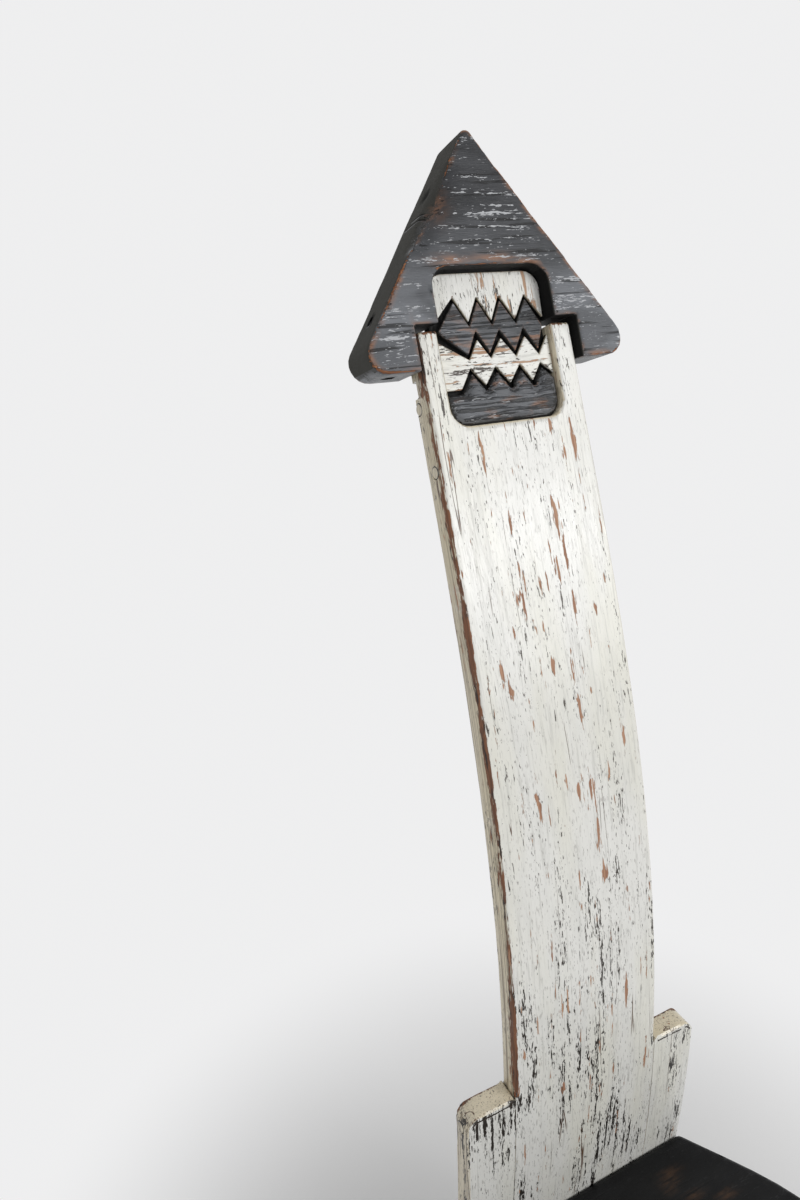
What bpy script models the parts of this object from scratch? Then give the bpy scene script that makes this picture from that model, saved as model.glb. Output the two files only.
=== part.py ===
# A tall narrow chair with a bowed board back, an arrowhead top and saw-tooth inlays.
# Metres, +Z up. X runs across the chair, +Y is the rear, and the floor is z = 0.
import math
from collections import namedtuple

import bmesh
import bpy
from mathutils import Matrix, Vector

OBJECT_NAME = "arrowhead_chair"

# Fits
GLUE_GAP = 0.0003
HOLE_CLEARANCE = 0.0003

# Bow of the back: its lean from upright, at places measured along its front face
SEAT_HEIGHT = 0.450
LEAN_AT_FLOOR = math.radians(-10.0)
LEAN_AT_SEAT = math.radians(-2.8)
LEAN_AT_TOP = math.radians(20.4)
STRAIGHT_BELOW_HORNS = 0.120
BOW_START_RATE = 0.85
STATIONS_IN_BOW = 20
BACK_HEIGHT = 1.100

# Boards of the back
BOARD_THICKNESS = 0.029
PLANK_WIDTH_AT_SEAT = 0.210
PLANK_WIDTH_AT_TOP = 0.187
PLANK_TAIL = 0.155
BACK_WIDTH = 0.336
SHOULDER_HEIGHT_LEFT = 0.236
SHOULDER_HEIGHT_RIGHT = 0.217
SHOULDER_RADIUS_LEFT = 0.011
SHOULDER_RADIUS_RIGHT = 0.014
REAR_FOOT_WIDTH = 0.045
FOOT_OVERRUN = 0.030
BOARD_ARRIS = 0.0022
HORN_RADIUS = 0.005

# Broken notch in the left rear arris, under the head
BREAK_BELOW_HORNS = 0.0535
BREAK_LENGTH = 0.017
BREAK_DEPTH = 0.010
BREAK_WIDTH = 0.016

# Window that the head and the plank share
WINDOW_WIDTH = 0.138
WINDOW_RADIUS = 0.020
WINDOW_BELOW_HORNS = 0.099
WINDOW_ABOVE_HORNS = 0.060

# Head
HEAD_THICKNESS = 0.058
HEAD_PROUD = 0.010
HEAD_APEX_HEIGHT = 0.203
HEAD_APEX_RADIUS = 0.007
HEAD_HALF_ANGLE = math.radians(35.0)
HEAD_DROP = 0.042
HEAD_CORNER_RADIUS = 0.020
HEAD_RAKE = math.radians(5.0)
HEAD_ARRIS = 0.0030
NOTCH_SIDE_GAP = 0.0030
NOTCH_TOP_GAP = 0.0040
UNDERSIDE_HOLE_X = -0.124
UNDERSIDE_HOLE_DEPTH_IN = 0.028
UNDERSIDE_HOLE_RADIUS = 0.006
UNDERSIDE_HOLE_LENGTH = 0.014

# Saw-tooth inlays, with heights from the horn tops
INLAY_FRONT = 0.008
INLAY_THICKNESS = 0.008
INLAY_SIDE_GAP = 0.0006
INLAY_ARRIS = 0.0008
BACKING_INSET = 0.0003
TOOTH_COUNT = 4
TOOTH_PITCH = 0.029
TOOTH_WANDER = 0.0016
UPPER_ROW_CENTRE = 0.0025
LOWER_ROW_CENTRE = 0.0095
JAW_ROW_CENTRE = 0.0115
UPPER_TOOTH_TIP = 0.0300
UPPER_TOOTH_ROOT = 0.0040
UPPER_ROW_GAP = 0.0046
UPPER_END_INSET = 0.0020
MIDDLE_END_HALF = 0.0640
LOWER_TOOTH_TIP = -0.0250
LOWER_TOOTH_ROOT = -0.0010
LOWER_ROW_TIP_GAP = 0.0055
LOWER_ROW_ROOT_GAP = 0.0090
JAW_TOOTH_TIP = -0.0430
JAW_TOOTH_ROOT = -0.0620
JAW_ROW_GAP = 0.0040
JAW_SHOULDER = -0.0645
JAW_BULGE = 0.0030
JAW_END_RISE = 0.0060

# Plugs, screws and dowels of the back
PLUG_RADIUS = 0.007
HORN_PLUG_LENGTH = 0.006
HORN_PLUG_BELOW_HORNS = 0.0730
CROSS_DOWEL_BELOW_HORNS = 0.1405
CROSS_DOWEL_DEPTH = 0.0115
LEG_PLUG_LENGTH = 0.030
LEG_PLUG_BELOW_SHOULDER = 0.022
LEG_PLUG_LOWER_HEIGHT = -0.128
LEG_PLUG_DEPTH = 0.0150
LEG_SCREW_BITE = 0.030
HEAD_SCREW_RISE = 0.020
HEAD_COUNTERBORE = 0.022
SCREW_SHANK_RADIUS = 0.0020
SCREW_HEAD_RADIUS = 0.0042
SCREW_HEAD_LENGTH = 0.0030
SCREW_BITE = 0.018
ROUND_SEGMENTS = 10

# Seat
SEAT_THICKNESS = 0.038
SEAT_DEPTH = 0.455
SEAT_HALF_WIDTH = 0.272
SEAT_WIDEST_AT = 0.240
SEAT_REAR_FLARE = 0.045
SEAT_REAR_PULL = 0.070
SEAT_SIDE_PULL = 0.100
SEAT_FRONT_PULL = 0.150
SEAT_ARRIS = 0.0060

# Frame under the seat
RAIL_HEIGHT = 0.072
RAIL_THICKNESS = 0.024
FRONT_LEG_TOP = 0.046
FRONT_LEG_FOOT = 0.034
FRONT_LEG_SIDE_INSET = 0.104
FRONT_LEG_FRONT_INSET = 0.107
FRAME_ARRIS = 0.0020
DOWEL_RADIUS = 0.0040
DOWEL_LENGTH = 0.036
DOWEL_SPACING = 0.036
CORNER_BLOCK_LEG = 0.055
CORNER_BLOCK_NICK = 0.008
SEAT_SCREW_SINK = 0.030
SEAT_SCREW_BITE = 0.020
RAIL_SCREW_PLACES = (-0.137, -0.060, 0.060, 0.137)
RAIL_SCREW_BITE = 0.020

BOW_LENGTH = BACK_HEIGHT - STRAIGHT_BELOW_HORNS
STATION_STEP = BOW_LENGTH / STATIONS_IN_BOW
HORN_PLUG_HEIGHT = BACK_HEIGHT - HORN_PLUG_BELOW_HORNS
CROSS_DOWEL_HEIGHT = BACK_HEIGHT - CROSS_DOWEL_BELOW_HORNS
FRONT_LEG_X = SEAT_HALF_WIDTH - FRONT_LEG_SIDE_INSET
FRONT_LEG_Y = FRONT_LEG_FRONT_INSET - SEAT_DEPTH
BACKING_FRONT = INLAY_FRONT + INLAY_THICKNESS + GLUE_GAP
BACKING_BACK = BOARD_THICKNESS - BACKING_INSET
BACKING_MIDDLE = (BACKING_FRONT + BACKING_BACK) / 2
RAIL_TOP = SEAT_HEIGHT - SEAT_THICKNESS - GLUE_GAP
RAIL_BOTTOM = RAIL_TOP - RAIL_HEIGHT

MATERIALS = {
    "white_paint": ((0.80, 0.79, 0.74), 0.45, 0.0),
    "black_paint": ((0.045, 0.047, 0.050), 0.38, 0.0),
    "bare_wood": ((0.42, 0.27, 0.15), 0.75, 0.0),
    "screw_steel": ((0.45, 0.44, 0.42), 0.40, 1.0),
}

RailLine = namedtuple("RailLine", "start end run outward")

station_cache = {}


def clear_scene():
    for old in list(bpy.data.objects):
        bpy.data.objects.remove(old, do_unlink=True)


def make_materials():
    made = {}
    for name, (colour, roughness, metallic) in MATERIALS.items():
        material = bpy.data.materials.new(name)
        material.use_nodes = True
        shader = material.node_tree.nodes["Principled BSDF"]
        shader.inputs["Base Color"].default_value = (*colour, 1.0)
        shader.inputs["Roughness"].default_value = roughness
        shader.inputs["Metallic"].default_value = metallic
        made[name] = material
    return made


# The bow maps board coordinates to the chair: x across, depth behind the front face, and
# height along that face from the seat top.
def lean(height):
    if height < 0:
        share = min(-height / SEAT_HEIGHT, 1.0)
        return LEAN_AT_SEAT + (LEAN_AT_FLOOR - LEAN_AT_SEAT) * share
    t = min(height / BOW_LENGTH, 1.0)
    rate = BOW_START_RATE
    shape = t * (rate + (3 - 2 * rate) * t + (rate - 2) * t * t)
    return LEAN_AT_SEAT + (LEAN_AT_TOP - LEAN_AT_SEAT) * shape


def station(index):
    if index == 0:
        return 0.0, SEAT_HEIGHT
    if index not in station_cache:
        step = 1 if index > 0 else -1
        y, z = station(index - step)
        middle = lean((index - step / 2) * STATION_STEP)
        length = step * STATION_STEP
        station_cache[index] = (y + length * math.sin(middle), z + length * math.cos(middle))
    return station_cache[index]


def at_station(index, depth):
    y, z = station(index)
    tilt = lean(index * STATION_STEP)
    return Vector((0.0, y + depth * math.cos(tilt), z - depth * math.sin(tilt)))


def bow(x, depth, height):
    index = math.floor(height / STATION_STEP)
    share = height / STATION_STEP - index
    place = at_station(index, depth).lerp(at_station(index + 1, depth), share)
    place.x = x
    return place


def bow_frame(x, depth, height):
    # Local +Y points into the back and local +Z up along it.
    return Matrix.Translation(bow(x, depth, height)) @ Matrix.Rotation(-lean(height), 4, "X")


def face_y(z, depth=0.0):
    # Where the back's front face stands at a height z at or below the seat.
    height = z - SEAT_HEIGHT
    for _ in range(20):
        place = bow(0.0, depth, height)
        height += z - place.z
    return place.y


def plank_half(height):
    slope = (PLANK_WIDTH_AT_TOP - PLANK_WIDTH_AT_SEAT) / BACK_HEIGHT
    return (PLANK_WIDTH_AT_SEAT + slope * height) / 2


def rounded(corners, step=math.radians(18)):
    # corners are (x, y, radius); each radius above zero becomes an arc.
    points = []
    for i, (x, y, radius) in enumerate(corners):
        here = Vector((x, y))
        if radius <= 0:
            points.append(here)
            continue
        to_last = (Vector(corners[i - 1][:2]) - here).normalized()
        to_next = (Vector(corners[(i + 1) % len(corners)][:2]) - here).normalized()
        opening = to_last.angle(to_next)
        centre = here + (to_last + to_next).normalized() * radius / math.sin(opening / 2)
        reach = radius / math.tan(opening / 2)
        first = here + to_last * reach - centre
        turn = first.angle_signed(here + to_next * reach - centre)
        count = max(2, math.ceil(abs(turn) / step))
        for k in range(count + 1):
            points.append(centre + Matrix.Rotation(-turn * k / count, 2) @ first)
    return points


def link(obj, collection, material=None):
    collection.objects.link(obj)
    if material:
        obj.data.materials.clear()
        obj.data.materials.append(material)
    return obj


def outline_mesh(name, points, thickness):
    # A flat outline as a filled 2D curve, made a mesh. Local XY holds the outline.
    curve = bpy.data.curves.new(name, "CURVE")
    curve.dimensions = "2D"
    curve.fill_mode = "BOTH"
    curve.extrude = thickness / 2
    spline = curve.splines.new("POLY")
    spline.points.add(len(points) - 1)
    for target, point in zip(spline.points, points):
        target.co = (point[0], point[1], 0.0, 1.0)
    spline.use_cyclic_u = True
    holder = bpy.data.objects.new(name, curve)
    bpy.context.scene.collection.objects.link(holder)
    graph = bpy.context.evaluated_depsgraph_get()
    mesh = bpy.data.meshes.new_from_object(holder.evaluated_get(graph))
    bpy.data.objects.remove(holder, do_unlink=True)
    bpy.data.curves.remove(curve)
    return mesh


def tidy_solid(mesh, arris):
    # Welds the curve's caps, merges their triangles and eases the sharp edges. A wide arris is
    # rounded and a narrow one is a flat chamfer.
    bm = bmesh.new()
    bm.from_mesh(mesh)
    bmesh.ops.remove_doubles(bm, verts=bm.verts, dist=0.00001)
    bmesh.ops.dissolve_limit(bm, angle_limit=math.radians(1), verts=bm.verts, edges=bm.edges)
    if arris > 0:
        sharp = [e for e in bm.edges if e.calc_face_angle(0.0) > math.radians(40)]
        segments = 2 if arris > BOARD_ARRIS else 1
        bmesh.ops.bevel(bm, geom=sharp, offset=arris, segments=segments, profile=0.5, affect="EDGES")
    bmesh.ops.recalc_face_normals(bm, faces=bm.faces)
    return bm


def finish_mesh(bm, name):
    mesh = bpy.data.meshes.new(name)
    bm.to_mesh(mesh)
    bm.free()
    mesh.shade_smooth()
    mesh.set_sharp_from_angle(angle=math.radians(35))
    return mesh


def back_board(name, points, front, back, material, parts, arris=BOARD_ARRIS, rake=0.0):
    # A board in the back's own coordinates, cut at each station and bowed.
    mesh = outline_mesh(name, points, back - front)
    bm = tidy_solid(mesh, arris)
    middle = (front + back) / 2
    for vert in bm.verts:
        depth = middle - vert.co.z
        height = vert.co.y + (depth - front) * math.tan(rake)
        vert.co = (vert.co.x, depth, height)
    bmesh.ops.recalc_face_normals(bm, faces=bm.faces)
    lowest = min(v.co.z for v in bm.verts)
    highest = min(max(v.co.z for v in bm.verts), BOW_LENGTH)
    first = math.ceil(lowest / STATION_STEP)
    last = math.floor(highest / STATION_STEP)
    for index in range(first, last + 1):
        geometry = bm.verts[:] + bm.edges[:] + bm.faces[:]
        plane = (0.0, 0.0, index * STATION_STEP)
        bmesh.ops.bisect_plane(bm, geom=geometry, plane_co=plane, plane_no=(0, 0, 1), dist=0.00001)
    for vert in bm.verts:
        vert.co = bow(*vert.co)
    bpy.data.meshes.remove(mesh)
    return link(bpy.data.objects.new(name, finish_mesh(bm, name)), parts, material)


def plan_board(name, points, bottom, top, material, parts, arris=FRAME_ARRIS):
    # A level board from its outline seen from above.
    mesh = outline_mesh(name, points, top - bottom)
    bm = tidy_solid(mesh, arris)
    bpy.data.meshes.remove(mesh)
    board = link(bpy.data.objects.new(name, finish_mesh(bm, name)), parts, material)
    board.location.z = (bottom + top) / 2
    return board


def rod_mesh(name, profile, segments=ROUND_SEGMENTS):
    # profile is (radius, place along +Z) from one end to the other; it lies on the axis at both.
    bm = bmesh.new()
    rings = []
    for radius, along in profile:
        if radius == 0:
            rings.append([bm.verts.new((0, 0, along))])
            continue
        ring = []
        for k in range(segments):
            angle = 2 * math.pi * k / segments
            ring.append(bm.verts.new((radius * math.cos(angle), radius * math.sin(angle), along)))
        rings.append(ring)
    for low, high in zip(rings, rings[1:]):
        for k in range(segments):
            nxt = (k + 1) % segments
            if len(low) == 1:
                bm.faces.new((low[0], high[nxt], high[k]))
            elif len(high) == 1:
                bm.faces.new((low[k], low[nxt], high[0]))
            else:
                bm.faces.new((low[k], low[nxt], high[nxt], high[k]))
    bmesh.ops.recalc_face_normals(bm, faces=bm.faces)
    return finish_mesh(bm, name)


def pin_profile(radius, length):
    chamfer = min(0.0006, radius / 4)
    return [(0, 0), (radius - chamfer, 0), (radius, chamfer), (radius, length - chamfer),
            (radius - chamfer, length), (0, length)]


def screw_profile(length):
    # Head at the origin, point at +Z.
    tip = SCREW_SHANK_RADIUS * 2.5
    return [(0, 0), (SCREW_HEAD_RADIUS, 0), (SCREW_HEAD_RADIUS, SCREW_HEAD_LENGTH * 0.3),
            (SCREW_SHANK_RADIUS, SCREW_HEAD_LENGTH), (SCREW_SHANK_RADIUS, length - tip), (0, length)]


def screw_hole_profile(length, sink, wide=SCREW_HEAD_RADIUS):
    # Origin at the screw's head. It runs back out of the wood by sink, at the radius wide, and
    # on to just beyond the screw's point.
    head = SCREW_HEAD_RADIUS + HOLE_CLEARANCE
    shank = SCREW_SHANK_RADIUS + HOLE_CLEARANCE
    floor = SCREW_HEAD_LENGTH + HOLE_CLEARANCE
    end = length + HOLE_CLEARANCE
    mouth = wide + HOLE_CLEARANCE
    profile = [(0, -sink), (mouth, -sink)]
    if wide > SCREW_HEAD_RADIUS:
        profile += [(mouth, -HOLE_CLEARANCE / 2), (head, -HOLE_CLEARANCE / 2)]
    return profile + [(head, floor), (shank, floor), (shank, end), (0, end)]


def aim(place, direction):
    return Matrix.Translation(place) @ Vector(direction).to_track_quat("Z", "Y").to_matrix().to_4x4()


def place_rod(name, profile, frame, collection, material=None):
    rod = bpy.data.objects.new(name, rod_mesh(name, profile))
    rod.matrix_world = frame
    return link(rod, collection, material)


def cut(target, cutter):
    modifier = target.modifiers.new("cut_" + cutter.name, "BOOLEAN")
    modifier.operation = "DIFFERENCE"
    modifier.solver = "EXACT"
    modifier.object = cutter


def as_cutter(obj):
    obj.hide_render = True
    obj.display_type = "WIRE"
    return obj


def rod_cutter(name, profile, frame, cutters):
    return as_cutter(place_rod(name, profile, frame, cutters))


def box_cutter(name, low, high, frame, cutters):
    bm = bmesh.new()
    bmesh.ops.create_cube(bm, size=1.0)
    size = Vector(high) - Vector(low)
    centre = (Vector(high) + Vector(low)) / 2
    bmesh.ops.scale(bm, vec=size, verts=bm.verts)
    bmesh.ops.translate(bm, vec=centre, verts=bm.verts)
    cutter = bpy.data.objects.new(name, finish_mesh(bm, name))
    cutter.matrix_world = frame
    return as_cutter(link(cutter, cutters))


def plank_outline():
    half_tail = plank_half(-PLANK_TAIL)
    half_top = plank_half(BACK_HEIGHT)
    sill = BACK_HEIGHT - WINDOW_BELOW_HORNS
    half_window = WINDOW_WIDTH / 2
    right = [(half_tail, -PLANK_TAIL, 0), (half_top, BACK_HEIGHT, HORN_RADIUS),
             (half_window, BACK_HEIGHT, HORN_RADIUS / 2), (half_window, sill, WINDOW_RADIUS)]
    left = [(-x, y, radius) for x, y, radius in reversed(right)]
    return rounded(right + left)


def leg_outline(side, shoulder, radius):
    outer = BACK_WIDTH / 2
    floor = -SEAT_HEIGHT - FOOT_OVERRUN
    free = -PLANK_TAIL - REAR_FOOT_WIDTH
    corners = [(outer - REAR_FOOT_WIDTH, floor, 0), (outer, floor, 0), (outer, shoulder, radius),
               (plank_half(shoulder) + GLUE_GAP, shoulder, 0),
               (plank_half(free) + GLUE_GAP, free, 0)]
    if side < 0:
        corners = [(-x, y, r) for x, y, r in reversed(corners)]
    return rounded(corners)


def head_outline():
    apex = BACK_HEIGHT + HEAD_APEX_HEIGHT
    foot = BACK_HEIGHT - HEAD_DROP
    corner = (apex - foot) * math.tan(HEAD_HALF_ANGLE)
    notch = plank_half(BACK_HEIGHT - HEAD_DROP) + NOTCH_SIDE_GAP
    ledge = BACK_HEIGHT + NOTCH_TOP_GAP
    window_top = BACK_HEIGHT + WINDOW_ABOVE_HORNS
    half_window = WINDOW_WIDTH / 2
    right = [(half_window, window_top, WINDOW_RADIUS), (half_window, ledge, 0), (notch, ledge, 0),
             (notch, foot, 0), (corner, foot, HEAD_CORNER_RADIUS)]
    left = [(-x, y, radius) for x, y, radius in reversed(right)]
    return rounded(right + [(0, apex, HEAD_APEX_RADIUS)] + left)


def row_places(centre, phase):
    # Tooth tips from left to right, wandering a little as hand-cut teeth do.
    first = centre - TOOTH_PITCH * (TOOTH_COUNT - 1) / 2
    return [first + TOOTH_PITCH * i + TOOTH_WANDER * math.sin(2.3 * i + phase)
            for i in range(TOOTH_COUNT)]


def zigzag(tips, tip, root):
    # Left to right: a tip at each place and a root halfway between.
    points = [(tips[0], tip)]
    for last, here in zip(tips, tips[1:]):
        points.append(((last + here) / 2, root))
        points.append((here, tip))
    return points


def inlay_outlines():
    upper = row_places(UPPER_ROW_CENTRE, 0.6)
    lower = row_places(LOWER_ROW_CENTRE, 2.1)
    jaw = row_places(JAW_ROW_CENTRE, 4.0)
    half = WINDOW_WIDTH / 2 - INLAY_SIDE_GAP
    top = WINDOW_ABOVE_HORNS - INLAY_SIDE_GAP
    bottom = -WINDOW_BELOW_HORNS + INLAY_SIDE_GAP
    upper_low = UPPER_TOOTH_ROOT + UPPER_ROW_GAP
    upper_row = zigzag(upper, UPPER_TOOTH_TIP + UPPER_ROW_GAP, upper_low)
    upper_panel = [(-half + UPPER_END_INSET, upper_low), *upper_row, (half - UPPER_END_INSET, upper_low)]
    upper_panel += [(p.x, p.y) for p in rounded_top(half, top)]
    middle_row = zigzag(upper, UPPER_TOOTH_TIP, UPPER_TOOTH_ROOT)
    middle_low = zigzag(lower, LOWER_TOOTH_TIP, LOWER_TOOTH_ROOT)
    middle_panel = [(-MIDDLE_END_HALF, 0.0), *middle_low, (MIDDLE_END_HALF, 0.0), *reversed(middle_row)]
    valley = LOWER_TOOTH_TIP - LOWER_ROW_TIP_GAP
    lower_row = zigzag(lower, valley, LOWER_TOOTH_ROOT - LOWER_ROW_ROOT_GAP)
    bite_row = zigzag(jaw, JAW_TOOTH_TIP + JAW_ROW_GAP, JAW_TOOTH_ROOT + JAW_ROW_GAP)
    jaw_start = jaw[0] - TOOTH_PITCH / 2
    step = JAW_SHOULDER + JAW_ROW_GAP
    jaw_end = JAW_TOOTH_ROOT + JAW_END_RISE
    lower_panel = [(-half, step), (jaw_start, step), *bite_row, (half, jaw_end + JAW_ROW_GAP),
                   (half, -LOWER_ROW_ROOT_GAP), *reversed(lower_row), (-half, -LOWER_ROW_ROOT_GAP)]
    jaw_row = zigzag(jaw, JAW_TOOTH_TIP, JAW_TOOTH_ROOT)
    jaw_panel = [(p.x, p.y) for p in rounded_bottom(half, bottom)]
    jaw_panel += [(half, jaw_end), *reversed(jaw_row), (jaw_start, JAW_SHOULDER), (-half, JAW_SHOULDER)]
    return {"upper_tooth_panel": upper_panel, "middle_tooth_panel": middle_panel,
            "lower_tooth_panel": lower_panel, "jaw_panel": jaw_panel}


def rounded_top(half, top):
    radius = WINDOW_RADIUS - INLAY_SIDE_GAP
    return rounded([(half, 0, 0), (half, top, radius), (-half, top, radius), (-half, 0, 0)])[1:-1]


def rounded_bottom(half, bottom):
    radius = WINDOW_RADIUS - INLAY_SIDE_GAP
    return rounded([(-half, 0, 0), (-half, bottom, radius), (half, bottom, radius), (half, 0, 0)])[1:-1]


def make_back(materials, parts):
    white = materials["white_paint"]
    pieces = {"back_plank": back_board("back_plank", plank_outline(), 0.0, BOARD_THICKNESS, white, parts)}
    for side, name, shoulder, radius in ((-1, "rear_leg_left", SHOULDER_HEIGHT_LEFT, SHOULDER_RADIUS_LEFT),
                                         (1, "rear_leg_right", SHOULDER_HEIGHT_RIGHT, SHOULDER_RADIUS_RIGHT)):
        outline = leg_outline(side, shoulder, radius)
        pieces[name] = back_board(name, outline, 0.0, BOARD_THICKNESS, white, parts)
    return pieces


def make_head(materials, parts):
    return back_board("head_block", head_outline(), -HEAD_PROUD, HEAD_THICKNESS - HEAD_PROUD,
                      materials["black_paint"], parts, HEAD_ARRIS, HEAD_RAKE)


def make_inlays(materials, parts):
    pieces = {}
    half = WINDOW_WIDTH / 2 - INLAY_SIDE_GAP
    radius = WINDOW_RADIUS - INLAY_SIDE_GAP
    top = BACK_HEIGHT + WINDOW_ABOVE_HORNS - INLAY_SIDE_GAP
    bottom = BACK_HEIGHT - WINDOW_BELOW_HORNS + INLAY_SIDE_GAP
    backing = rounded([(-half, bottom, radius), (half, bottom, radius), (half, top, radius),
                       (-half, top, radius)])
    pieces["inlay_backing"] = back_board("inlay_backing", backing, BACKING_FRONT, BACKING_BACK,
                                         materials["black_paint"], parts, 0.0)
    for name, outline in inlay_outlines().items():
        raised = [(x, y + BACK_HEIGHT) for x, y in outline]
        white = name in ("upper_tooth_panel", "lower_tooth_panel")
        front = INLAY_FRONT - (JAW_BULGE if name == "jaw_panel" else 0.0)
        pieces[name] = back_board(name, raised, front, INLAY_FRONT + INLAY_THICKNESS,
                                  materials["white_paint" if white else "black_paint"], parts,
                                  INLAY_ARRIS)
    return pieces


def seat_outline():
    # Half outline as two cubic curves: flaring from the back, then round to the front.
    rear = BACK_WIDTH / 2
    widest = (SEAT_HALF_WIDTH, -SEAT_WIDEST_AT)
    side = cubic((rear, -GLUE_GAP), (rear + SEAT_REAR_FLARE, -SEAT_REAR_PULL),
                 (SEAT_HALF_WIDTH, -SEAT_WIDEST_AT + SEAT_SIDE_PULL), widest, 8)
    front = cubic(widest, (SEAT_HALF_WIDTH, -SEAT_WIDEST_AT - SEAT_SIDE_PULL),
                  (SEAT_FRONT_PULL, -SEAT_DEPTH), (0.0, -SEAT_DEPTH), 12)
    half = side[:-1] + front
    return [(-x, y) for x, y in half] + list(reversed(half[:-1]))


def cubic(a, b, c, d, count):
    points = []
    for k in range(count + 1):
        t = k / count
        weights = ((1 - t) ** 3, 3 * t * (1 - t) ** 2, 3 * t * t * (1 - t), t ** 3)
        points.append(tuple(sum(w * p[i] for w, p in zip(weights, (a, b, c, d))) for i in (0, 1)))
    return points


def make_seat(materials, parts):
    return plan_board("seat_board", seat_outline(), SEAT_HEIGHT - SEAT_THICKNESS, SEAT_HEIGHT,
                      materials["black_paint"], parts, SEAT_ARRIS)


def make_front_leg(name, side, materials, parts):
    # Square beside the rails, then tapered on its inner faces down to the foot.
    bm = bmesh.new()
    bmesh.ops.create_cube(bm, size=1.0)
    share = RAIL_BOTTOM / RAIL_TOP - 0.5
    bmesh.ops.bisect_plane(bm, geom=bm.verts[:] + bm.edges[:] + bm.faces[:], plane_co=(0, 0, share),
                           plane_no=(0, 0, 1))
    outer_x = side * (FRONT_LEG_X + FRONT_LEG_TOP / 2)
    outer_y = FRONT_LEG_Y - FRONT_LEG_TOP / 2
    for vert in bm.verts:
        width = FRONT_LEG_FOOT if vert.co.z < share - 0.01 else FRONT_LEG_TOP
        across = 0.0 if vert.co.x * side > 0 else width
        behind = 0.0 if vert.co.y < 0 else width
        vert.co = (outer_x - side * across, outer_y + behind, (vert.co.z + 0.5) * RAIL_TOP)
    bmesh.ops.recalc_face_normals(bm, faces=bm.faces)
    sharp = [e for e in bm.edges if e.calc_face_angle(0.0) > math.radians(40)]
    bmesh.ops.bevel(bm, geom=sharp, offset=FRAME_ARRIS, segments=1, affect="EDGES")
    leg = bpy.data.objects.new(name, finish_mesh(bm, name))
    return link(leg, parts, materials["white_paint"])


def rail_box(name, start, end, outward, materials, parts, bowed_end=False):
    # A rail from start to end (x, y) along its outer face; outward is the outer face's side.
    run = Vector(end) - Vector(start)
    inward = -Vector(outward)
    bm = bmesh.new()
    bmesh.ops.create_cube(bm, size=1.0)
    for vert in bm.verts:
        z = RAIL_TOP if vert.co.z > 0 else RAIL_BOTTOM
        along = Vector(end) if vert.co.x > 0 else Vector(start)
        across = inward * (RAIL_THICKNESS if vert.co.y > 0 else 0.0)
        place = along + across
        if vert.co.x > 0 and bowed_end:
            y = face_y(z) - GLUE_GAP / math.cos(lean(z - SEAT_HEIGHT))
            place = place + run * (y - place.y) / run.y
        elif run.y != 0:
            place = place + run * (along.y - place.y) / run.y
        vert.co = (place.x, place.y, z)
    bmesh.ops.recalc_face_normals(bm, faces=bm.faces)
    lengthwise = [e for e in bm.edges if abs((e.verts[0].co - e.verts[1].co).z) < 0.01]
    bmesh.ops.bevel(bm, geom=lengthwise, offset=FRAME_ARRIS / 2, segments=1, affect="EDGES")
    rail = bpy.data.objects.new(name, finish_mesh(bm, name))
    return link(rail, parts, materials["white_paint"])


def side_rail_line(side):
    # The outer face runs from the front leg's rear face to the back's outer edge.
    start = Vector((side * (FRONT_LEG_X + FRONT_LEG_TOP / 2 - FRAME_ARRIS),
                    FRONT_LEG_Y + FRONT_LEG_TOP / 2 + GLUE_GAP))
    end = Vector((side * (BACK_WIDTH / 2 - FRAME_ARRIS), 0.0))
    run = (end - start).normalized()
    outward = Vector((run.y, -run.x)) * side
    return RailLine(start, end, run, outward)


def make_frame(materials, parts):
    pieces = {}
    rail_front = FRONT_LEG_Y - FRONT_LEG_TOP / 2 + FRAME_ARRIS * 2
    inner_x = FRONT_LEG_X - FRONT_LEG_TOP / 2 - GLUE_GAP
    for side, word in ((-1, "left"), (1, "right")):
        pieces["front_leg_" + word] = make_front_leg("front_leg_" + word, side, materials, parts)
        line = side_rail_line(side)
        pieces["side_rail_" + word] = rail_box("side_rail_" + word, line.start, line.end, line.outward,
                                               materials, parts, bowed_end=True)
    pieces["front_rail"] = rail_box("front_rail", (-inner_x, rail_front), (inner_x, rail_front),
                                    (0.0, -1.0), materials, parts)
    reach = rear_rail_reach()
    outline = [(-reach, RAIL_BOTTOM - SEAT_HEIGHT), (reach, RAIL_BOTTOM - SEAT_HEIGHT),
               (reach, RAIL_TOP - SEAT_HEIGHT - GLUE_GAP), (-reach, RAIL_TOP - SEAT_HEIGHT - GLUE_GAP)]
    pieces["rear_rail"] = back_board("rear_rail", outline, -RAIL_THICKNESS - GLUE_GAP, -GLUE_GAP,
                                     materials["white_paint"], parts, FRAME_ARRIS / 2)
    return pieces


def rear_rail_reach():
    # Half length of the rear rail, which ends at the side rails' inner faces. They are closest
    # where the back's face lies furthest to the rear.
    line = side_rail_line(1)
    inner = line.end - line.outward * RAIL_THICKNESS
    rearmost = face_y(RAIL_BOTTOM)
    return inner.x + line.run.x * (rearmost - inner.y) / line.run.y - GLUE_GAP / line.outward.x


def block_outline(corner, along_a, along_b):
    # A triangle in the corner of two rails, with its square corner cut back.
    corner = Vector(corner)
    a = Vector(along_a).normalized()
    b = Vector(along_b).normalized()
    inset = (a + b) * GLUE_GAP * 1.5
    points = [corner + inset + a * CORNER_BLOCK_NICK, corner + inset + a * CORNER_BLOCK_LEG,
              corner + inset + b * CORNER_BLOCK_LEG, corner + inset + b * CORNER_BLOCK_NICK]
    turn = (points[1] - points[0]).cross(points[2] - points[1])
    return points if turn > 0 else list(reversed(points))


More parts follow.
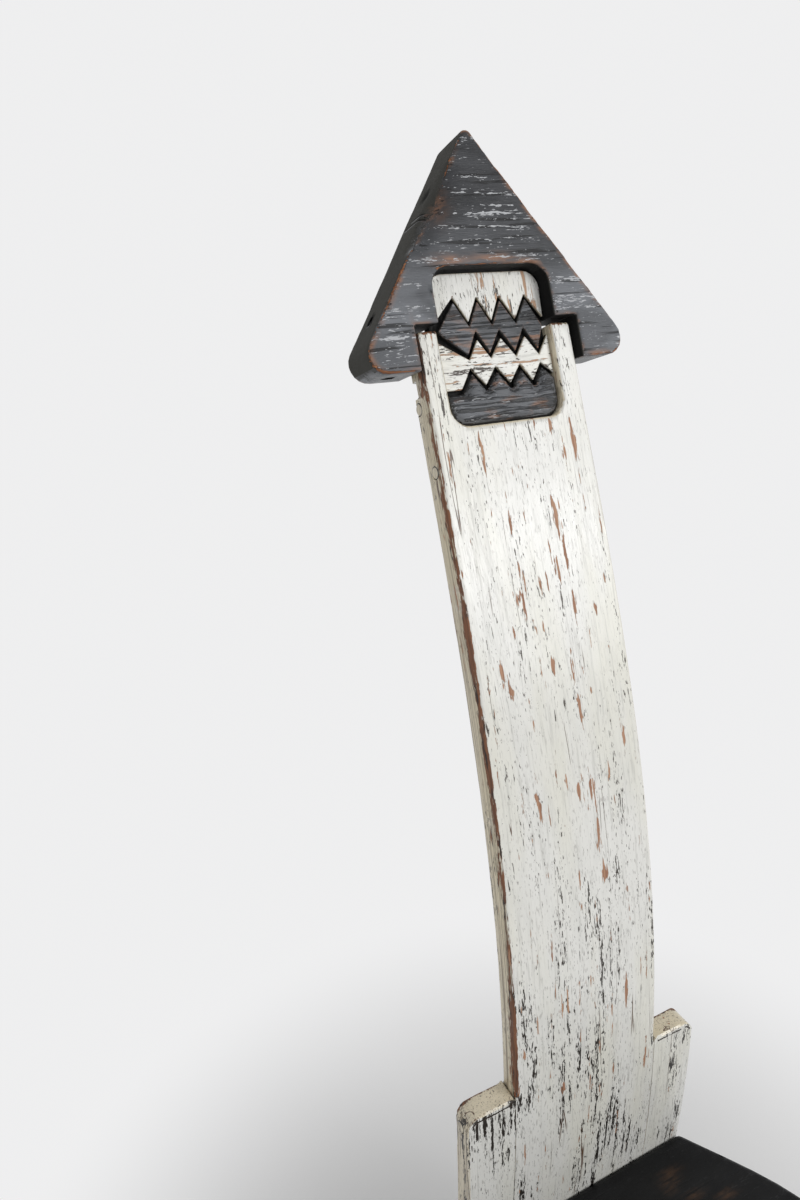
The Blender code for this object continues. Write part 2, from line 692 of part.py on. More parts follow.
def make_corner_blocks(materials, parts):
    pieces = {}
    rail_back = FRONT_LEG_Y - FRONT_LEG_TOP / 2 + FRAME_ARRIS * 2 + RAIL_THICKNESS
    for side, word in ((-1, "left"), (1, "right")):
        line = side_rail_line(side)
        rear_inner = line.end - line.outward * RAIL_THICKNESS
        rear_face = face_y(RAIL_TOP, -RAIL_THICKNESS - GLUE_GAP)
        rear_corner = rear_inner + line.run * (rear_face - rear_inner.y) / line.run.y
        front_corner = Vector((side * (FRONT_LEG_X - FRONT_LEG_TOP / 2), rail_back))
        places = {"front": (front_corner, (-side, 0), (0, 1)),
                  "rear": (rear_corner, (-side, 0), -line.run)}
        for end_word, (corner, along_a, along_b) in places.items():
            name = "corner_block_" + end_word + "_" + word
            outline = block_outline(corner, along_a, along_b)
            bottom = RAIL_TOP - SEAT_SCREW_SINK - GLUE_GAP
            pieces[name] = plan_board(name, outline, bottom, RAIL_TOP, materials["bare_wood"], parts, 0.0)
            pieces[name]["middle"] = sum(outline, Vector((0, 0))) / len(outline)
    return pieces


def side_direction(side):
    return Vector((-side, 0.0, 0.0))


def add_break(pieces, cutters):
    middle = BACK_HEIGHT - BREAK_BELOW_HORNS
    half = BREAK_LENGTH / 2
    frame = bow_frame(-plank_half(middle), BOARD_THICKNESS, middle)
    cutter = box_cutter("break_cutter", (-BREAK_DEPTH, -BREAK_DEPTH, -half), (BREAK_WIDTH, BREAK_DEPTH, half),
                        frame, cutters)
    cut(pieces["back_plank"], cutter)


def cut_feet(pieces, cutters):
    # The bowed legs run a little past the floor and are sawn level.
    low = (-BACK_WIDTH, -SEAT_DEPTH, -FOOT_OVERRUN * 2)
    high = (BACK_WIDTH, SEAT_DEPTH, 0.0)
    cutter = box_cutter("floor_cutter", low, high, Matrix.Identity(4), cutters)
    cut(pieces["rear_leg_left"], cutter)
    cut(pieces["rear_leg_right"], cutter)


def add_underside_hole(pieces, cutters):
    depth = UNDERSIDE_HOLE_DEPTH_IN - HEAD_PROUD
    place = bow(UNDERSIDE_HOLE_X, depth, BACK_HEIGHT - HEAD_DROP)
    up = Vector((0.0, math.sin(LEAN_AT_TOP), math.cos(LEAN_AT_TOP)))
    outside = UNDERSIDE_HOLE_RADIUS
    profile = [(0, -outside), (UNDERSIDE_HOLE_RADIUS, -outside),
               (UNDERSIDE_HOLE_RADIUS, UNDERSIDE_HOLE_LENGTH), (0, UNDERSIDE_HOLE_LENGTH)]
    cutter = rod_cutter("underside_hole_cutter", profile, aim(place, up), cutters)
    cut(pieces["head_block"], cutter)


def plugged_screw(name, pieces, targets, place, direction, plug_length, length, materials, parts, cutters):
    # A round plug flush with the wood at place, and the frame of the screw behind it.
    plug = place_rod(name, pin_profile(PLUG_RADIUS, plug_length), aim(place, direction), parts,
                     materials["white_paint"])
    pieces[name] = plug
    frame = aim(place + direction * (plug_length + HOLE_CLEARANCE), direction)
    sink = plug_length + PLUG_RADIUS
    cutter = rod_cutter(name + "_cutter", screw_hole_profile(length, sink, PLUG_RADIUS), frame, cutters)
    for target in targets:
        cut(pieces[target], cutter)
    screw = name.replace("plug", "screw")
    pieces[screw] = place_rod(screw, screw_profile(length), frame, parts, materials["screw_steel"])


def add_horn_fixings(pieces, materials, parts, cutters):
    half = plank_half(HORN_PLUG_HEIGHT)
    horn = half - WINDOW_WIDTH / 2 + INLAY_SIDE_GAP
    length = horn - HORN_PLUG_LENGTH + SCREW_BITE
    for side, word in ((-1, "left"), (1, "right")):
        place = bow(side * half, BACKING_MIDDLE, HORN_PLUG_HEIGHT)
        plugged_screw("horn_plug_" + word, pieces, ("back_plank", "inlay_backing"), place,
                      side_direction(side), HORN_PLUG_LENGTH, length, materials, parts, cutters)


def add_leg_fixings(pieces, materials, parts, cutters):
    for side, word, shoulder in ((-1, "left", SHOULDER_HEIGHT_LEFT), (1, "right", SHOULDER_HEIGHT_RIGHT)):
        heights = {"upper": shoulder - LEG_PLUG_BELOW_SHOULDER, "lower": LEG_PLUG_LOWER_HEIGHT}
        for level, height in heights.items():
            outer = BACK_WIDTH / 2
            length = outer - plank_half(height) - LEG_PLUG_LENGTH + LEG_SCREW_BITE
            place = bow(side * outer, LEG_PLUG_DEPTH, height)
            name = "leg_plug_" + level + "_" + word
            plugged_screw(name, pieces, ("rear_leg_" + word, "back_plank"), place,
                          side_direction(side), LEG_PLUG_LENGTH, length, materials, parts, cutters)


def add_head_screws(pieces, materials, parts, cutters):
    # Open counterbored holes in the head's cheeks; the screws bite into the inlay backing.
    height = BACK_HEIGHT + HEAD_SCREW_RISE
    cheek = (HEAD_APEX_HEIGHT - HEAD_SCREW_RISE) * math.tan(HEAD_HALF_ANGLE)
    length = cheek - HEAD_COUNTERBORE - WINDOW_WIDTH / 2 + INLAY_SIDE_GAP + SCREW_BITE
    for side, word in ((-1, "left"), (1, "right")):
        direction = side_direction(side)
        place = bow(side * cheek, BACKING_MIDDLE, height) + direction * HEAD_COUNTERBORE
        frame = aim(place, direction)
        profile = screw_hole_profile(length, HEAD_COUNTERBORE * 2)
        cutter = rod_cutter("head_screw_cutter_" + word, profile, frame, cutters)
        cut(pieces["head_block"], cutter)
        cut(pieces["inlay_backing"], cutter)
        name = "head_screw_" + word
        pieces[name] = place_rod(name, screw_profile(length), frame, parts, materials["screw_steel"])


def add_cross_dowel(pieces, materials, parts, cutters):
    # A dowel right across the plank below the window, its ends flush with both sides.
    half = plank_half(CROSS_DOWEL_HEIGHT)
    place = bow(-half, CROSS_DOWEL_DEPTH, CROSS_DOWEL_HEIGHT)
    frame = aim(place, (1.0, 0.0, 0.0))
    name = "cross_dowel"
    pieces[name] = place_rod(name, pin_profile(PLUG_RADIUS, half * 2), frame, parts,
                             materials["bare_wood"])
    bore = PLUG_RADIUS + HOLE_CLEARANCE
    profile = [(0, -bore), (bore, -bore), (bore, half * 2 + bore), (0, half * 2 + bore)]
    cut(pieces["back_plank"], rod_cutter("cross_dowel_cutter", profile, frame, cutters))


def add_dowel(name, place, direction, targets, pieces, materials, parts, cutters):
    direction = Vector(direction).normalized()
    frame = aim(Vector(place) - direction * DOWEL_LENGTH / 2, direction)
    bore = DOWEL_RADIUS + HOLE_CLEARANCE
    end = DOWEL_LENGTH + HOLE_CLEARANCE
    profile = [(0, -HOLE_CLEARANCE), (bore, -HOLE_CLEARANCE), (bore, end), (0, end)]
    cutter = rod_cutter(name + "_cutter", profile, frame, cutters)
    for target in targets:
        cut(pieces[target], cutter)
    pieces[name] = place_rod(name, pin_profile(DOWEL_RADIUS, DOWEL_LENGTH), frame, parts,
                             materials["bare_wood"])


def add_dowels(pieces, materials, parts, cutters):
    middle = (RAIL_TOP + RAIL_BOTTOM) / 2
    front_y = FRONT_LEG_Y - FRONT_LEG_TOP / 2 + FRAME_ARRIS * 2 + RAIL_THICKNESS / 2
    for side, word in ((-1, "left"), (1, "right")):
        line = side_rail_line(side)
        along = (line.run.x, line.run.y, 0.0)
        for level, z in (("low", middle - DOWEL_SPACING / 2), ("high", middle + DOWEL_SPACING / 2)):
            leg = "front_leg_" + word
            tag = level + "_" + word
            inner = side * (FRONT_LEG_X - FRONT_LEG_TOP / 2)
            add_dowel("front_dowel_" + tag, (inner, front_y, z), (1, 0, 0), (leg, "front_rail"), pieces,
                      materials, parts, cutters)
            spot = line.start - line.outward * RAIL_THICKNESS / 2
            add_dowel("side_dowel_" + tag, (spot.x, spot.y, z), along, (leg, "side_rail_" + word),
                      pieces, materials, parts, cutters)
            spot = spot + line.run * (face_y(z) - spot.y) / line.run.y
            add_dowel("rear_dowel_" + tag, (spot.x, spot.y, z), along,
                      ("rear_leg_" + word, "side_rail_" + word), pieces, materials, parts, cutters)


def add_seat_screws(pieces, materials, parts, cutters):
    length = SEAT_SCREW_SINK + SEAT_SCREW_BITE
    for name in [n for n in pieces if n.startswith("corner_block")]:
        x, y = pieces[name]["middle"]
        frame = aim((x, y, RAIL_TOP - SEAT_SCREW_SINK), (0, 0, 1))
        screw = name.replace("corner_block", "seat_screw")
        profile = screw_hole_profile(length, SCREW_HEAD_RADIUS)
        cutter = rod_cutter(screw + "_cutter", profile, frame, cutters)
        cut(pieces[name], cutter)
        cut(pieces["seat_board"], cutter)
        pieces[screw] = place_rod(screw, screw_profile(length), frame, parts, materials["screw_steel"])


def add_rear_rail_screws(pieces, materials, parts, cutters):
    height = (RAIL_TOP + RAIL_BOTTOM) / 2 - SEAT_HEIGHT
    tilt = lean(height)
    into_back = Vector((0.0, math.cos(tilt), -math.sin(tilt)))
    length = RAIL_THICKNESS + RAIL_SCREW_BITE
    for i, x in enumerate(RAIL_SCREW_PLACES):
        if abs(x) < plank_half(height):
            board = "back_plank"
        else:
            board = "rear_leg_left" if x < 0 else "rear_leg_right"
        frame = aim(bow(x, -RAIL_THICKNESS - GLUE_GAP, height), into_back)
        screw = "rear_rail_screw_%d" % (i + 1)
        profile = screw_hole_profile(length, SCREW_HEAD_RADIUS)
        cutter = rod_cutter(screw + "_cutter", profile, frame, cutters)
        cut(pieces["rear_rail"], cutter)
        cut(pieces[board], cutter)
        pieces[screw] = place_rod(screw, screw_profile(length), frame, parts, materials["screw_steel"])


def world_corners(obj):
    return [obj.matrix_world @ Vector(corner) for corner in obj.bound_box]


def set_origin(pieces, parts, cutters):
    # The origin lies on the floor, midway between the seat's front and the head's rear.
    bpy.context.view_layer.update()
    front = min(corner.y for corner in world_corners(pieces["seat_board"]))
    rear = max(corner.y for corner in world_corners(pieces["head_block"]))
    holder = bpy.data.objects.new("chair_origin", None)
    bpy.context.scene.collection.objects.link(holder)
    holder.location.y = -(front + rear) / 2
    for obj in list(parts.objects) + list(cutters.objects):
        obj.parent = holder


def main():
    clear_scene()
    scene_root = bpy.context.scene.collection
    parts = bpy.data.collections.new(OBJECT_NAME)
    cutters = bpy.data.collections.new(OBJECT_NAME + "_cutters")
    scene_root.children.link(parts)
    scene_root.children.link(cutters)
    materials = make_materials()
    pieces = make_back(materials, parts)
    pieces["head_block"] = make_head(materials, parts)
    pieces.update(make_inlays(materials, parts))
    pieces["seat_board"] = make_seat(materials, parts)
    pieces.update(make_frame(materials, parts))
    pieces.update(make_corner_blocks(materials, parts))
    add_break(pieces, cutters)
    cut_feet(pieces, cutters)
    add_underside_hole(pieces, cutters)
    for add in (add_horn_fixings, add_leg_fixings, add_head_screws, add_cross_dowel, add_dowels,
                add_seat_screws, add_rear_rail_screws):
        add(pieces, materials, parts, cutters)
    set_origin(pieces, parts, cutters)


main()
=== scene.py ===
import math
import random

import bmesh
import bpy
import numpy
from mathutils import Matrix, Vector, kdtree, noise


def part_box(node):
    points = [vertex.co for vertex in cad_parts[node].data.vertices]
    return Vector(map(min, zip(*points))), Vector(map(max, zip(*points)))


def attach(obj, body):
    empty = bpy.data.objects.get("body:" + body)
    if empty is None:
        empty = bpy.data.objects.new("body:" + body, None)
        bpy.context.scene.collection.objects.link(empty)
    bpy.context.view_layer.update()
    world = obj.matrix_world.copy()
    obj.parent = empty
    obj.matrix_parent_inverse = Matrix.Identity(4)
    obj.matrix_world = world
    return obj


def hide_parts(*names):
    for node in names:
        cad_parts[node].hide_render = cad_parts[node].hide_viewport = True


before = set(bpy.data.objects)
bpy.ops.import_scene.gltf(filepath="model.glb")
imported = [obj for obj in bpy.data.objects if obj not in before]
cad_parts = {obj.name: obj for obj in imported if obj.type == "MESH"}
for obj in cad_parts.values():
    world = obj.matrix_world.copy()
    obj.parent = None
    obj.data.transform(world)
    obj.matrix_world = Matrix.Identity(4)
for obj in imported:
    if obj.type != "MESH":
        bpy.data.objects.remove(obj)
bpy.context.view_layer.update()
print("frame loaded:", len(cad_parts), "nodes")

# the bow of the back, as the solids have it
plankSize = {
    "seatWidth": 0.210,
    "topWidth": 0.187,
    "thickness": 0.029,
    "tail": 0.155,
    "arris": 0.0023,
    "shoulders": (0.236, 0.217),
    "shoulderRadius": 0.022,
    "halfBack": 0.168,
    "sideTaper": 0.01045,
    "closed": 0.00003,  # how far a filled arris still stands back
}

backBow = {
    "seatHeight": 0.450,
    "leanAtFloor": math.radians(-10.0),
    "leanAtSeat": math.radians(-2.8),
    "leanAtTop": math.radians(20.4),
    "length": 0.980,
    "startRate": 0.85,
    "stations": 20,
    "fineSteps": 8,  # smooth steps between two stations
    "height": 1.100,
    "faceY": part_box("seat_board")[1].y + 0.0003,
}

cameraView = {
    "place": (-0.46683, backBow["faceY"] - 0.53508, 1.56902),
    "yaw": math.radians(24.5454),
    "pitch": math.radians(-21.9515),
    "roll": math.radians(-2.4594),
    "lens": 24.0,
}

studioLight = {
    "lights": {
        "keyLight": {"place": (1.50, -1.95, 2.15), "size": (1.5, 1.9), "power": 35.0},
        "fillLight": {"place": (-2.4, -1.7, 1.9), "size": (2.0, 2.4), "power": 12.0},
        "glintLight": {"place": (1.23, backBow["faceY"] - 1.80, 1.95), "size": (0.28, 0.34), "power": 3.4},
    },
    "aim": (0.0, 0.12, 1.15),
    "ambient": 0.40,
    "backdrop": (0.86, 0.86, 0.865),
    "floorColour": (0.90, 0.90, 0.90),
    "floorRadius": 9.0,
    "fadeFrom": 0.35,
    "fadeTo": 1.05,
}


def leanAt(height):
    if height < 0:
        share = min(-height / backBow["seatHeight"], 1.0)
        return backBow["leanAtSeat"] + (backBow["leanAtFloor"] - backBow["leanAtSeat"]) * share
    t = min(height / backBow["length"], 1.0)
    rate = backBow["startRate"]
    shape = t * (rate + (3 - 2 * rate) * t + (rate - 2) * t * t)
    return backBow["leanAtSeat"] + (backBow["leanAtTop"] - backBow["leanAtSeat"]) * shape


pathCache = {}


def pathPoint(index, step):
    # a point of the back's front face, index steps along it from the seat
    if index == 0:
        return backBow["faceY"], backBow["seatHeight"]
    if (index, step) not in pathCache:
        way = 1 if index > 0 else -1
        y, z = pathPoint(index - way, step)
        middle = leanAt((index - way / 2) * step)
        pathCache[index, step] = (y + way * step * math.sin(middle), z + way * step * math.cos(middle))
    return pathCache[index, step]


def solidBow(depth, height):
    # the solids' bow is straight between stations
    step = backBow["length"] / backBow["stations"]
    index = math.floor(height / step)
    share = height / step - index
    ends = []
    for k in (index, index + 1):
        y, z = pathPoint(k, step)
        tilt = leanAt(k * step)
        ends.append((y + depth * math.cos(tilt), z - depth * math.sin(tilt)))
    return [a + (b - a) * share for a, b in zip(*ends)]


def smoothBow(place):
    step = backBow["length"] / backBow["stations"] / backBow["fineSteps"]
    index = math.floor(place.z / step)
    y, z = pathPoint(index, step)
    rest = place.z - index * step
    middle = leanAt(index * step + rest / 2)
    tilt = leanAt(place.z)
    y += rest * math.sin(middle) + place.y * math.cos(tilt)
    z += rest * math.cos(middle) - place.y * math.sin(tilt)
    return Vector((place.x, y, z))


def unbow(place):
    depth, height = 0.0, place.z - backBow["seatHeight"]
    for _ in range(12):
        y, z = solidBow(depth, height)
        tilt = leanAt(height)
        missY, missZ = place.y - y, place.z - z
        height += missY * math.sin(tilt) + missZ * math.cos(tilt)
        depth += missY * math.cos(tilt) - missZ * math.sin(tilt)
    return Vector((place.x, depth, height))


def same(place):
    return place.copy()


def fraction(value):
    return max(0.0, min(1.0, value))


# Meshes
def slicePlanes(bm, faces, point, normal, cuts):
    # cuts the faces at every distance in cuts along normal, halving as it goes
    if not cuts or not faces:
        return
    middle = len(cuts) // 2
    spot = point + normal * cuts[middle]
    edges = {edge for face in faces for edge in face.edges}
    verts = {vert for face in faces for vert in face.verts}
    made = bmesh.ops.bisect_plane(bm, geom=list(verts) + list(edges) + list(faces), plane_co=spot,
                                  plane_no=normal, dist=0.00001)
    below, above = [], []
    for item in made["geom"]:
        if isinstance(item, bmesh.types.BMFace):
            side = below if (item.calc_center_median() - spot).dot(normal) < 0 else above
            side.append(item)
    slicePlanes(bm, below, point, normal, cuts[:middle])
    slicePlanes(bm, above, point, normal, cuts[middle + 1:])


def evenCuts(low, high, step):
    count = max(1, round((high - low) / step))
    return [low + (high - low) * k / count for k in range(1, count)]


def takeSolid(node, toFlat):
    bm = bmesh.new()
    bm.from_mesh(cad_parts[node].data)
    for vert in bm.verts:
        vert.co = toFlat(vert.co)
    bmesh.ops.remove_doubles(bm, verts=bm.verts, dist=0.00002)
    bmesh.ops.dissolve_limit(bm, angle_limit=math.radians(0.6), verts=bm.verts, edges=bm.edges)
    return bm


def arrisTree(bm, angle, unworn, spacing=0.0015):
    # points along the arrises that wear
    points = []
    for edge in bm.edges:
        if edge.calc_face_angle(0.0) < angle:
            continue
        a, b = edge.verts[0].co, edge.verts[1].co
        count = max(1, math.ceil((b - a).length / spacing))
        along = [a.lerp(b, k / count) for k in range(count + 1)]
        points += [point for point in along if not unworn(point)]
    tree = kdtree.KDTree(len(points))
    for i, point in enumerate(points):
        tree.insert(point, i)
    tree.balance()
    return tree


def streak(place, across, along, seed):
    # noise drawn out along the grain, which runs along place.z
    return noise.noise(Vector((place.x * across + seed, place.y * across, place.z * along + seed)))


def writeFields(mesh, places, fields):
    # what the paint reads: where it is along the grain, how far from a worn arris, and so on
    mesh.attributes.new("grainPlace", "FLOAT_VECTOR", "POINT")
    for key in fields:
        mesh.attributes.new(key, "FLOAT", "POINT")
    flatPlaces = [value for place in places for value in place]
    mesh.attributes["grainPlace"].data.foreach_set("vector", flatPlaces)
    for key, values in fields.items():
        mesh.attributes[key].data.foreach_set("value", values)


def finishPiece(bm, name, grainOf, toWorld, fields, material, nodes, smoothAngle=40):
    mesh = bpy.data.meshes.new(name)
    bmesh.ops.recalc_face_normals(bm, faces=bm.faces)
    bm.to_mesh(mesh)
    flat = [vert.co.copy() for vert in bm.verts]
    bm.free()
    writeFields(mesh, [grainOf(place) for place in flat], fields)
    for vert, place in zip(mesh.vertices, flat):
        vert.co = toWorld(place)
    mesh.shade_smooth()
    mesh.set_sharp_from_angle(angle=math.radians(smoothAngle))
    mesh.materials.append(material)
    piece = bpy.data.objects.new(name, mesh)
    bpy.context.scene.collection.objects.link(piece)
    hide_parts(*nodes)
    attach(piece, "root")
    return piece


def wornPiece(node, look, material):
    # A finer copy of a solid, with its arrises rubbed and chipped and its faces a little uneven. The paint
    # that an arris has kept is a length in the look, unless its rub function works it out place by place.
    toFlat, toWorld = look.get("spaces", (same, same))
    bm = takeSolid(node, toFlat)
    inSeam = look.get("seam", nowhere)
    atFixing = look.get("fixings", nowhere)
    tree = arrisTree(bm, math.radians(30), lambda place: inSeam(place) or atFixing(place))
    corners = [vert.co.copy() for vert in bm.verts]
    low = Vector(min(c[i] for c in corners) for i in range(3))
    high = Vector(max(c[i] for c in corners) for i in range(3))
    for axis in range(3):
        step = look["cell"][axis]
        if step:
            normal = Vector((axis == 0, axis == 1, axis == 2))
            slicePlanes(bm, bm.faces[:], Vector(), normal, evenCuts(low[axis], high[axis], step))
    for rim in look.get("rims", ()):
        normal = Vector(rim["normal"]).normalized()
        for offset in rim["offsets"]:
            slicePlanes(bm, bm.faces[:], Vector(rim["point"]), normal, [-offset])
    bmesh.ops.recalc_face_normals(bm, faces=bm.faces)
    bm.normal_update()
    bm.verts.ensure_lookup_table()
    reach, deep, wave = look["reach"], look["chipDepth"], look["wave"]
    grainOf, rub = look["grain"], look.get("rub")
    shadeOf = look.get("shade", unshaded)
    markOf = look.get("mark", unmarked)
    fields = {"arris": [], "shade": [], "spots": [], "mark": []}
    moves = []
    for vert in bm.verts:
        nearest, _, distance = tree.find(vert.co)
        place = grainOf(vert.co)
        sunk = wave * (0.5 + 0.5 * streak(place, 28, 5, 3.1))
        for gouge in look.get("gouges", ()):
            sunk += gougeDepth(gouge, nearest, distance)
        if inSeam(vert.co):
            distance = reach * 2
            vert.co.x += math.copysign(look["seamReach"], vert.co.x)
            vert.co.y = closeSeam(vert.co.y)
        else:
            distance = rub(nearest, vert.co, distance) if rub else distance + look["kept"]
        fields["arris"].append(distance)
        fields["shade"].append(shadeOf(vert.co, low))
        fields["spots"].append(spotBias(vert.co, look.get("spots", ()), look.get("spotAxes", (0, 2))))
        fields["mark"].append(markOf(nearest, vert.co, distance))
        if distance < reach:
            share = 1 - distance / reach
            broad = 0.5 + 0.5 * streak(place, 30, 11, 7.7)
            rough = 0.5 + 0.5 * streak(place, 170, 70, 1.3)
            sunk += deep * share * share * fraction(2.2 * (broad * 0.7 + rough * 0.3) - 0.75)
        if "knot" in look:
            sunk += look["flawDepth"] * flawShare(vert.co)
        if "pillow" in look:
            width, height, rise = look["pillow"]
            edge = max(0.0, 1 - distance / width)
            sunk += height * edge ** 3 - rise * (1 - edge * edge)
        moves.append(-vert.normal * sunk)
    roundOff = look.get("roundOff", same)
    for vert, move in zip(bm.verts, moves):
        vert.co = roundOff(vert.co + move)
    return finishPiece(bm, look.get("name", "worn_" + node), grainOf, toWorld, fields, material,
                       [node], look.get("smoothAngle", 40))


def nowhere(place):
    return False


def unmarked(nearest, place, distance):
    return 0.0


def unshaded(place, low):
    return 0.0


def fullShade(place, low):
    return 1.0


def spotBias(place, spots, axes=(0, 2)):
    # how much more the paint has come off at the listed places: centre, half sizes on two axes, strength
    total = 0.0
    for spot in spots:
        away = [place[axis] - spot[axis] for axis in range(3)]
        across, along = away[axes[0]] / spot[3], away[axes[1]] / spot[4]
        deep = away[3 - axes[0] - axes[1]]
        if abs(across) < 2.5 and abs(along) < 2.5 and abs(deep) < 0.012:
            total = max(total, spot[5] * math.exp(-across * across - along * along))
    return total


def gougeDepth(gouge, nearest, distance):
    away = abs(nearest.z - gouge["height"]) / gouge["half"]
    if away >= 1 or distance >= gouge["reach"] or nearest.x > 0 or nearest.y > gouge["behind"]:
        return 0.0
    rough = 0.75 + 0.5 * streak(nearest, 40, 40, 8.8)
    return gouge["depth"] * rough * (1 - away * away) * (1 - distance / gouge["reach"]) ** 2


def plankHalf(height):
    wider = plankSize["topWidth"] - plankSize["seatWidth"]
    return (plankSize["seatWidth"] + wider * height / backBow["height"]) / 2


def inPlankSeam(place):
    shoulder = plankSize["shoulders"][place.x > 0]
    return plankHalf(place.z) - abs(place.x) < plankSize["arris"] + 0.0001 and place.z < shoulder


def inLegSeam(place):
    return abs(place.x) - plankHalf(place.z) < plankSize["arris"] + 0.0004 and place.z > -plankSize["tail"]


def atPlug(place):
    # the bores of the plugs are filled and painted over, so their rims aren't worn
    return any(math.hypot(place.y - plug.y, place.z - plug.z) < plugRim for plug in plugPlaces)


def atHole(place):
    # the head's holes are painted near black as painted shade, and their rims aren't worn
    return any((place - start).cross(axis).length < holeRim and abs((place - start).dot(axis)) < holeReach
               for start, axis in holePlaces)


def closeSeam(depth):
    # the arrises of two boards that meet flush are filled with paint
    arris = plankSize["arris"] + 0.0002
    if depth < arris:
        return min(depth, plankSize["closed"])
    if depth > plankSize["thickness"] - arris:
        return max(depth, plankSize["thickness"] - plankSize["closed"])
    return depth


# Shader building
def makeNode(tree, kind, settings=None, **sockets):
    made = tree.nodes.new(kind)
    for name, value in (settings or {}).items():
        setattr(made, name, value)
    for name, value in sockets.items():
        plug(tree, made.inputs[name.replace("_", " ")], value)
    return made


def addNode(tree, kind, settings=None, **sockets):
    return makeNode(tree, "ShaderNode" + kind, settings, **sockets)


def addGeo(tree, kind, settings=None, **sockets):
    return makeNode(tree, "GeometryNode" + kind, settings, **sockets)


def plug(tree, socket, value):
    if isinstance(value, bpy.types.NodeSocket):
        tree.links.new(value, socket)
    elif value is not None:
        socket.default_value = value


def mathNode(operation):
    def use(tree, *values, clamp=False):
        made = addNode(tree, "Math", {"operation": operation, "use_clamp": clamp})
        for socket, value in zip(made.inputs, values):
            plug(tree, socket, value)
        return made.outputs[0]
    return use


times, plus, minus, divide = [mathNode(word) for word in ("MULTIPLY", "ADD", "SUBTRACT", "DIVIDE")]
timesPlus, greater, unsigned = [mathNode(word) for word in ("MULTIPLY_ADD", "MAXIMUM", "ABSOLUTE")]


def ramp(tree, value, low, high, start=0.0, end=1.0):
    made = addNode(tree, "MapRange", {"interpolation_type": "SMOOTHSTEP"}, Value=value, From_Min=low,
                   From_Max=high, To_Min=start, To_Max=end)
    return made.outputs["Result"]


def blend(tree, share, a, b, mode="MIX"):
    made = addNode(tree, "Mix", {"data_type": "RGBA", "blend_type": mode})
    plug(tree, made.inputs["Factor"], share)
    for socket, value in zip([s for s in made.inputs if s.type == "RGBA"], (a, b)):
        plug(tree, socket, (*value, 1.0) if isinstance(value, tuple) and len(value) == 3 else value)
    return next(s for s in made.outputs if s.type == "RGBA")


def newGroup(name, inputs, outputs, kind="ShaderNodeTree"):
    # inputs and outputs give the names of their sockets by kind of socket
    tree = bpy.data.node_groups.new(name, kind)
    for side, sockets in (("INPUT", inputs), ("OUTPUT", outputs)):
        for socketKind, labels in sockets.items():
            for label in labels.split(", "):
                tree.interface.new_socket(label, in_out=side, socket_type="NodeSocket" + socketKind)
    return tree, tree.nodes.new("NodeGroupInput").outputs, tree.nodes.new("NodeGroupOutput").inputs


def useGroup(tree, group, **sockets):
    made = tree.nodes.new("ShaderNodeGroup")
    made.node_tree = group
    for name, value in sockets.items():
        plug(tree, made.inputs[name], value)
    return made.outputs


def makeGrainField():
    # noise drawn out along the grain: cycles per metre across and along
    inputs = {"Vector": "place", "Float": "across, along, detail, seed"}
    tree, given, result = newGroup("grainField", inputs, {"Float": "value"})
    size = addNode(tree, "CombineXYZ", X=given["across"], Y=given["across"], Z=given["along"])
    scaled = addNode(tree, "VectorMath", {"operation": "MULTIPLY"})
    plug(tree, scaled.inputs[0], given["place"])
    plug(tree, scaled.inputs[1], size.outputs[0])
    moved = addNode(tree, "VectorMath", {"operation": "ADD"})
    plug(tree, moved.inputs[0], scaled.outputs[0])
    plug(tree, moved.inputs[1], given["seed"])
    grain = addNode(tree, "TexNoise", Vector=moved.outputs[0], Scale=1.0, Detail=given["detail"],
                    Roughness=0.55)
    plug(tree, result["value"], grain.outputs["Fac"])
    return tree


grainField = makeGrainField()


def grainOn(tree, place):
    # a function that reads the grain field at this place
    def grain(across, along, detail, seed):
        return useGroup(tree, grainField, place=place, across=across, along=along, detail=detail,
                        seed=seed)["value"]
    return grain


def makeBareWood():
    tree, given, result = newGroup("bareWood", {"Vector": "place", "Color": "light, dark"},
                                   {"Color": "colour", "Float": "height"})
    grain = grainOn(tree, given["place"])
    lines = grain(420, 16, 4, 2)
    fine = ramp(tree, lines, 0.36, 0.64, 0.0, 0.7)
    broad = ramp(tree, grain(55, 4, 2, 9), 0.35, 0.65, 0.0, 0.3)
    share = plus(tree, fine, broad)
    plug(tree, result["colour"], blend(tree, share, given["dark"], given["light"]))
    plug(tree, result["height"], lines)
    return tree


bareWood = makeBareWood()


def woodOn(tree, place, light, dark):
    return useGroup(tree, bareWood, place=place, light=(*light, 1), dark=(*dark, 1))


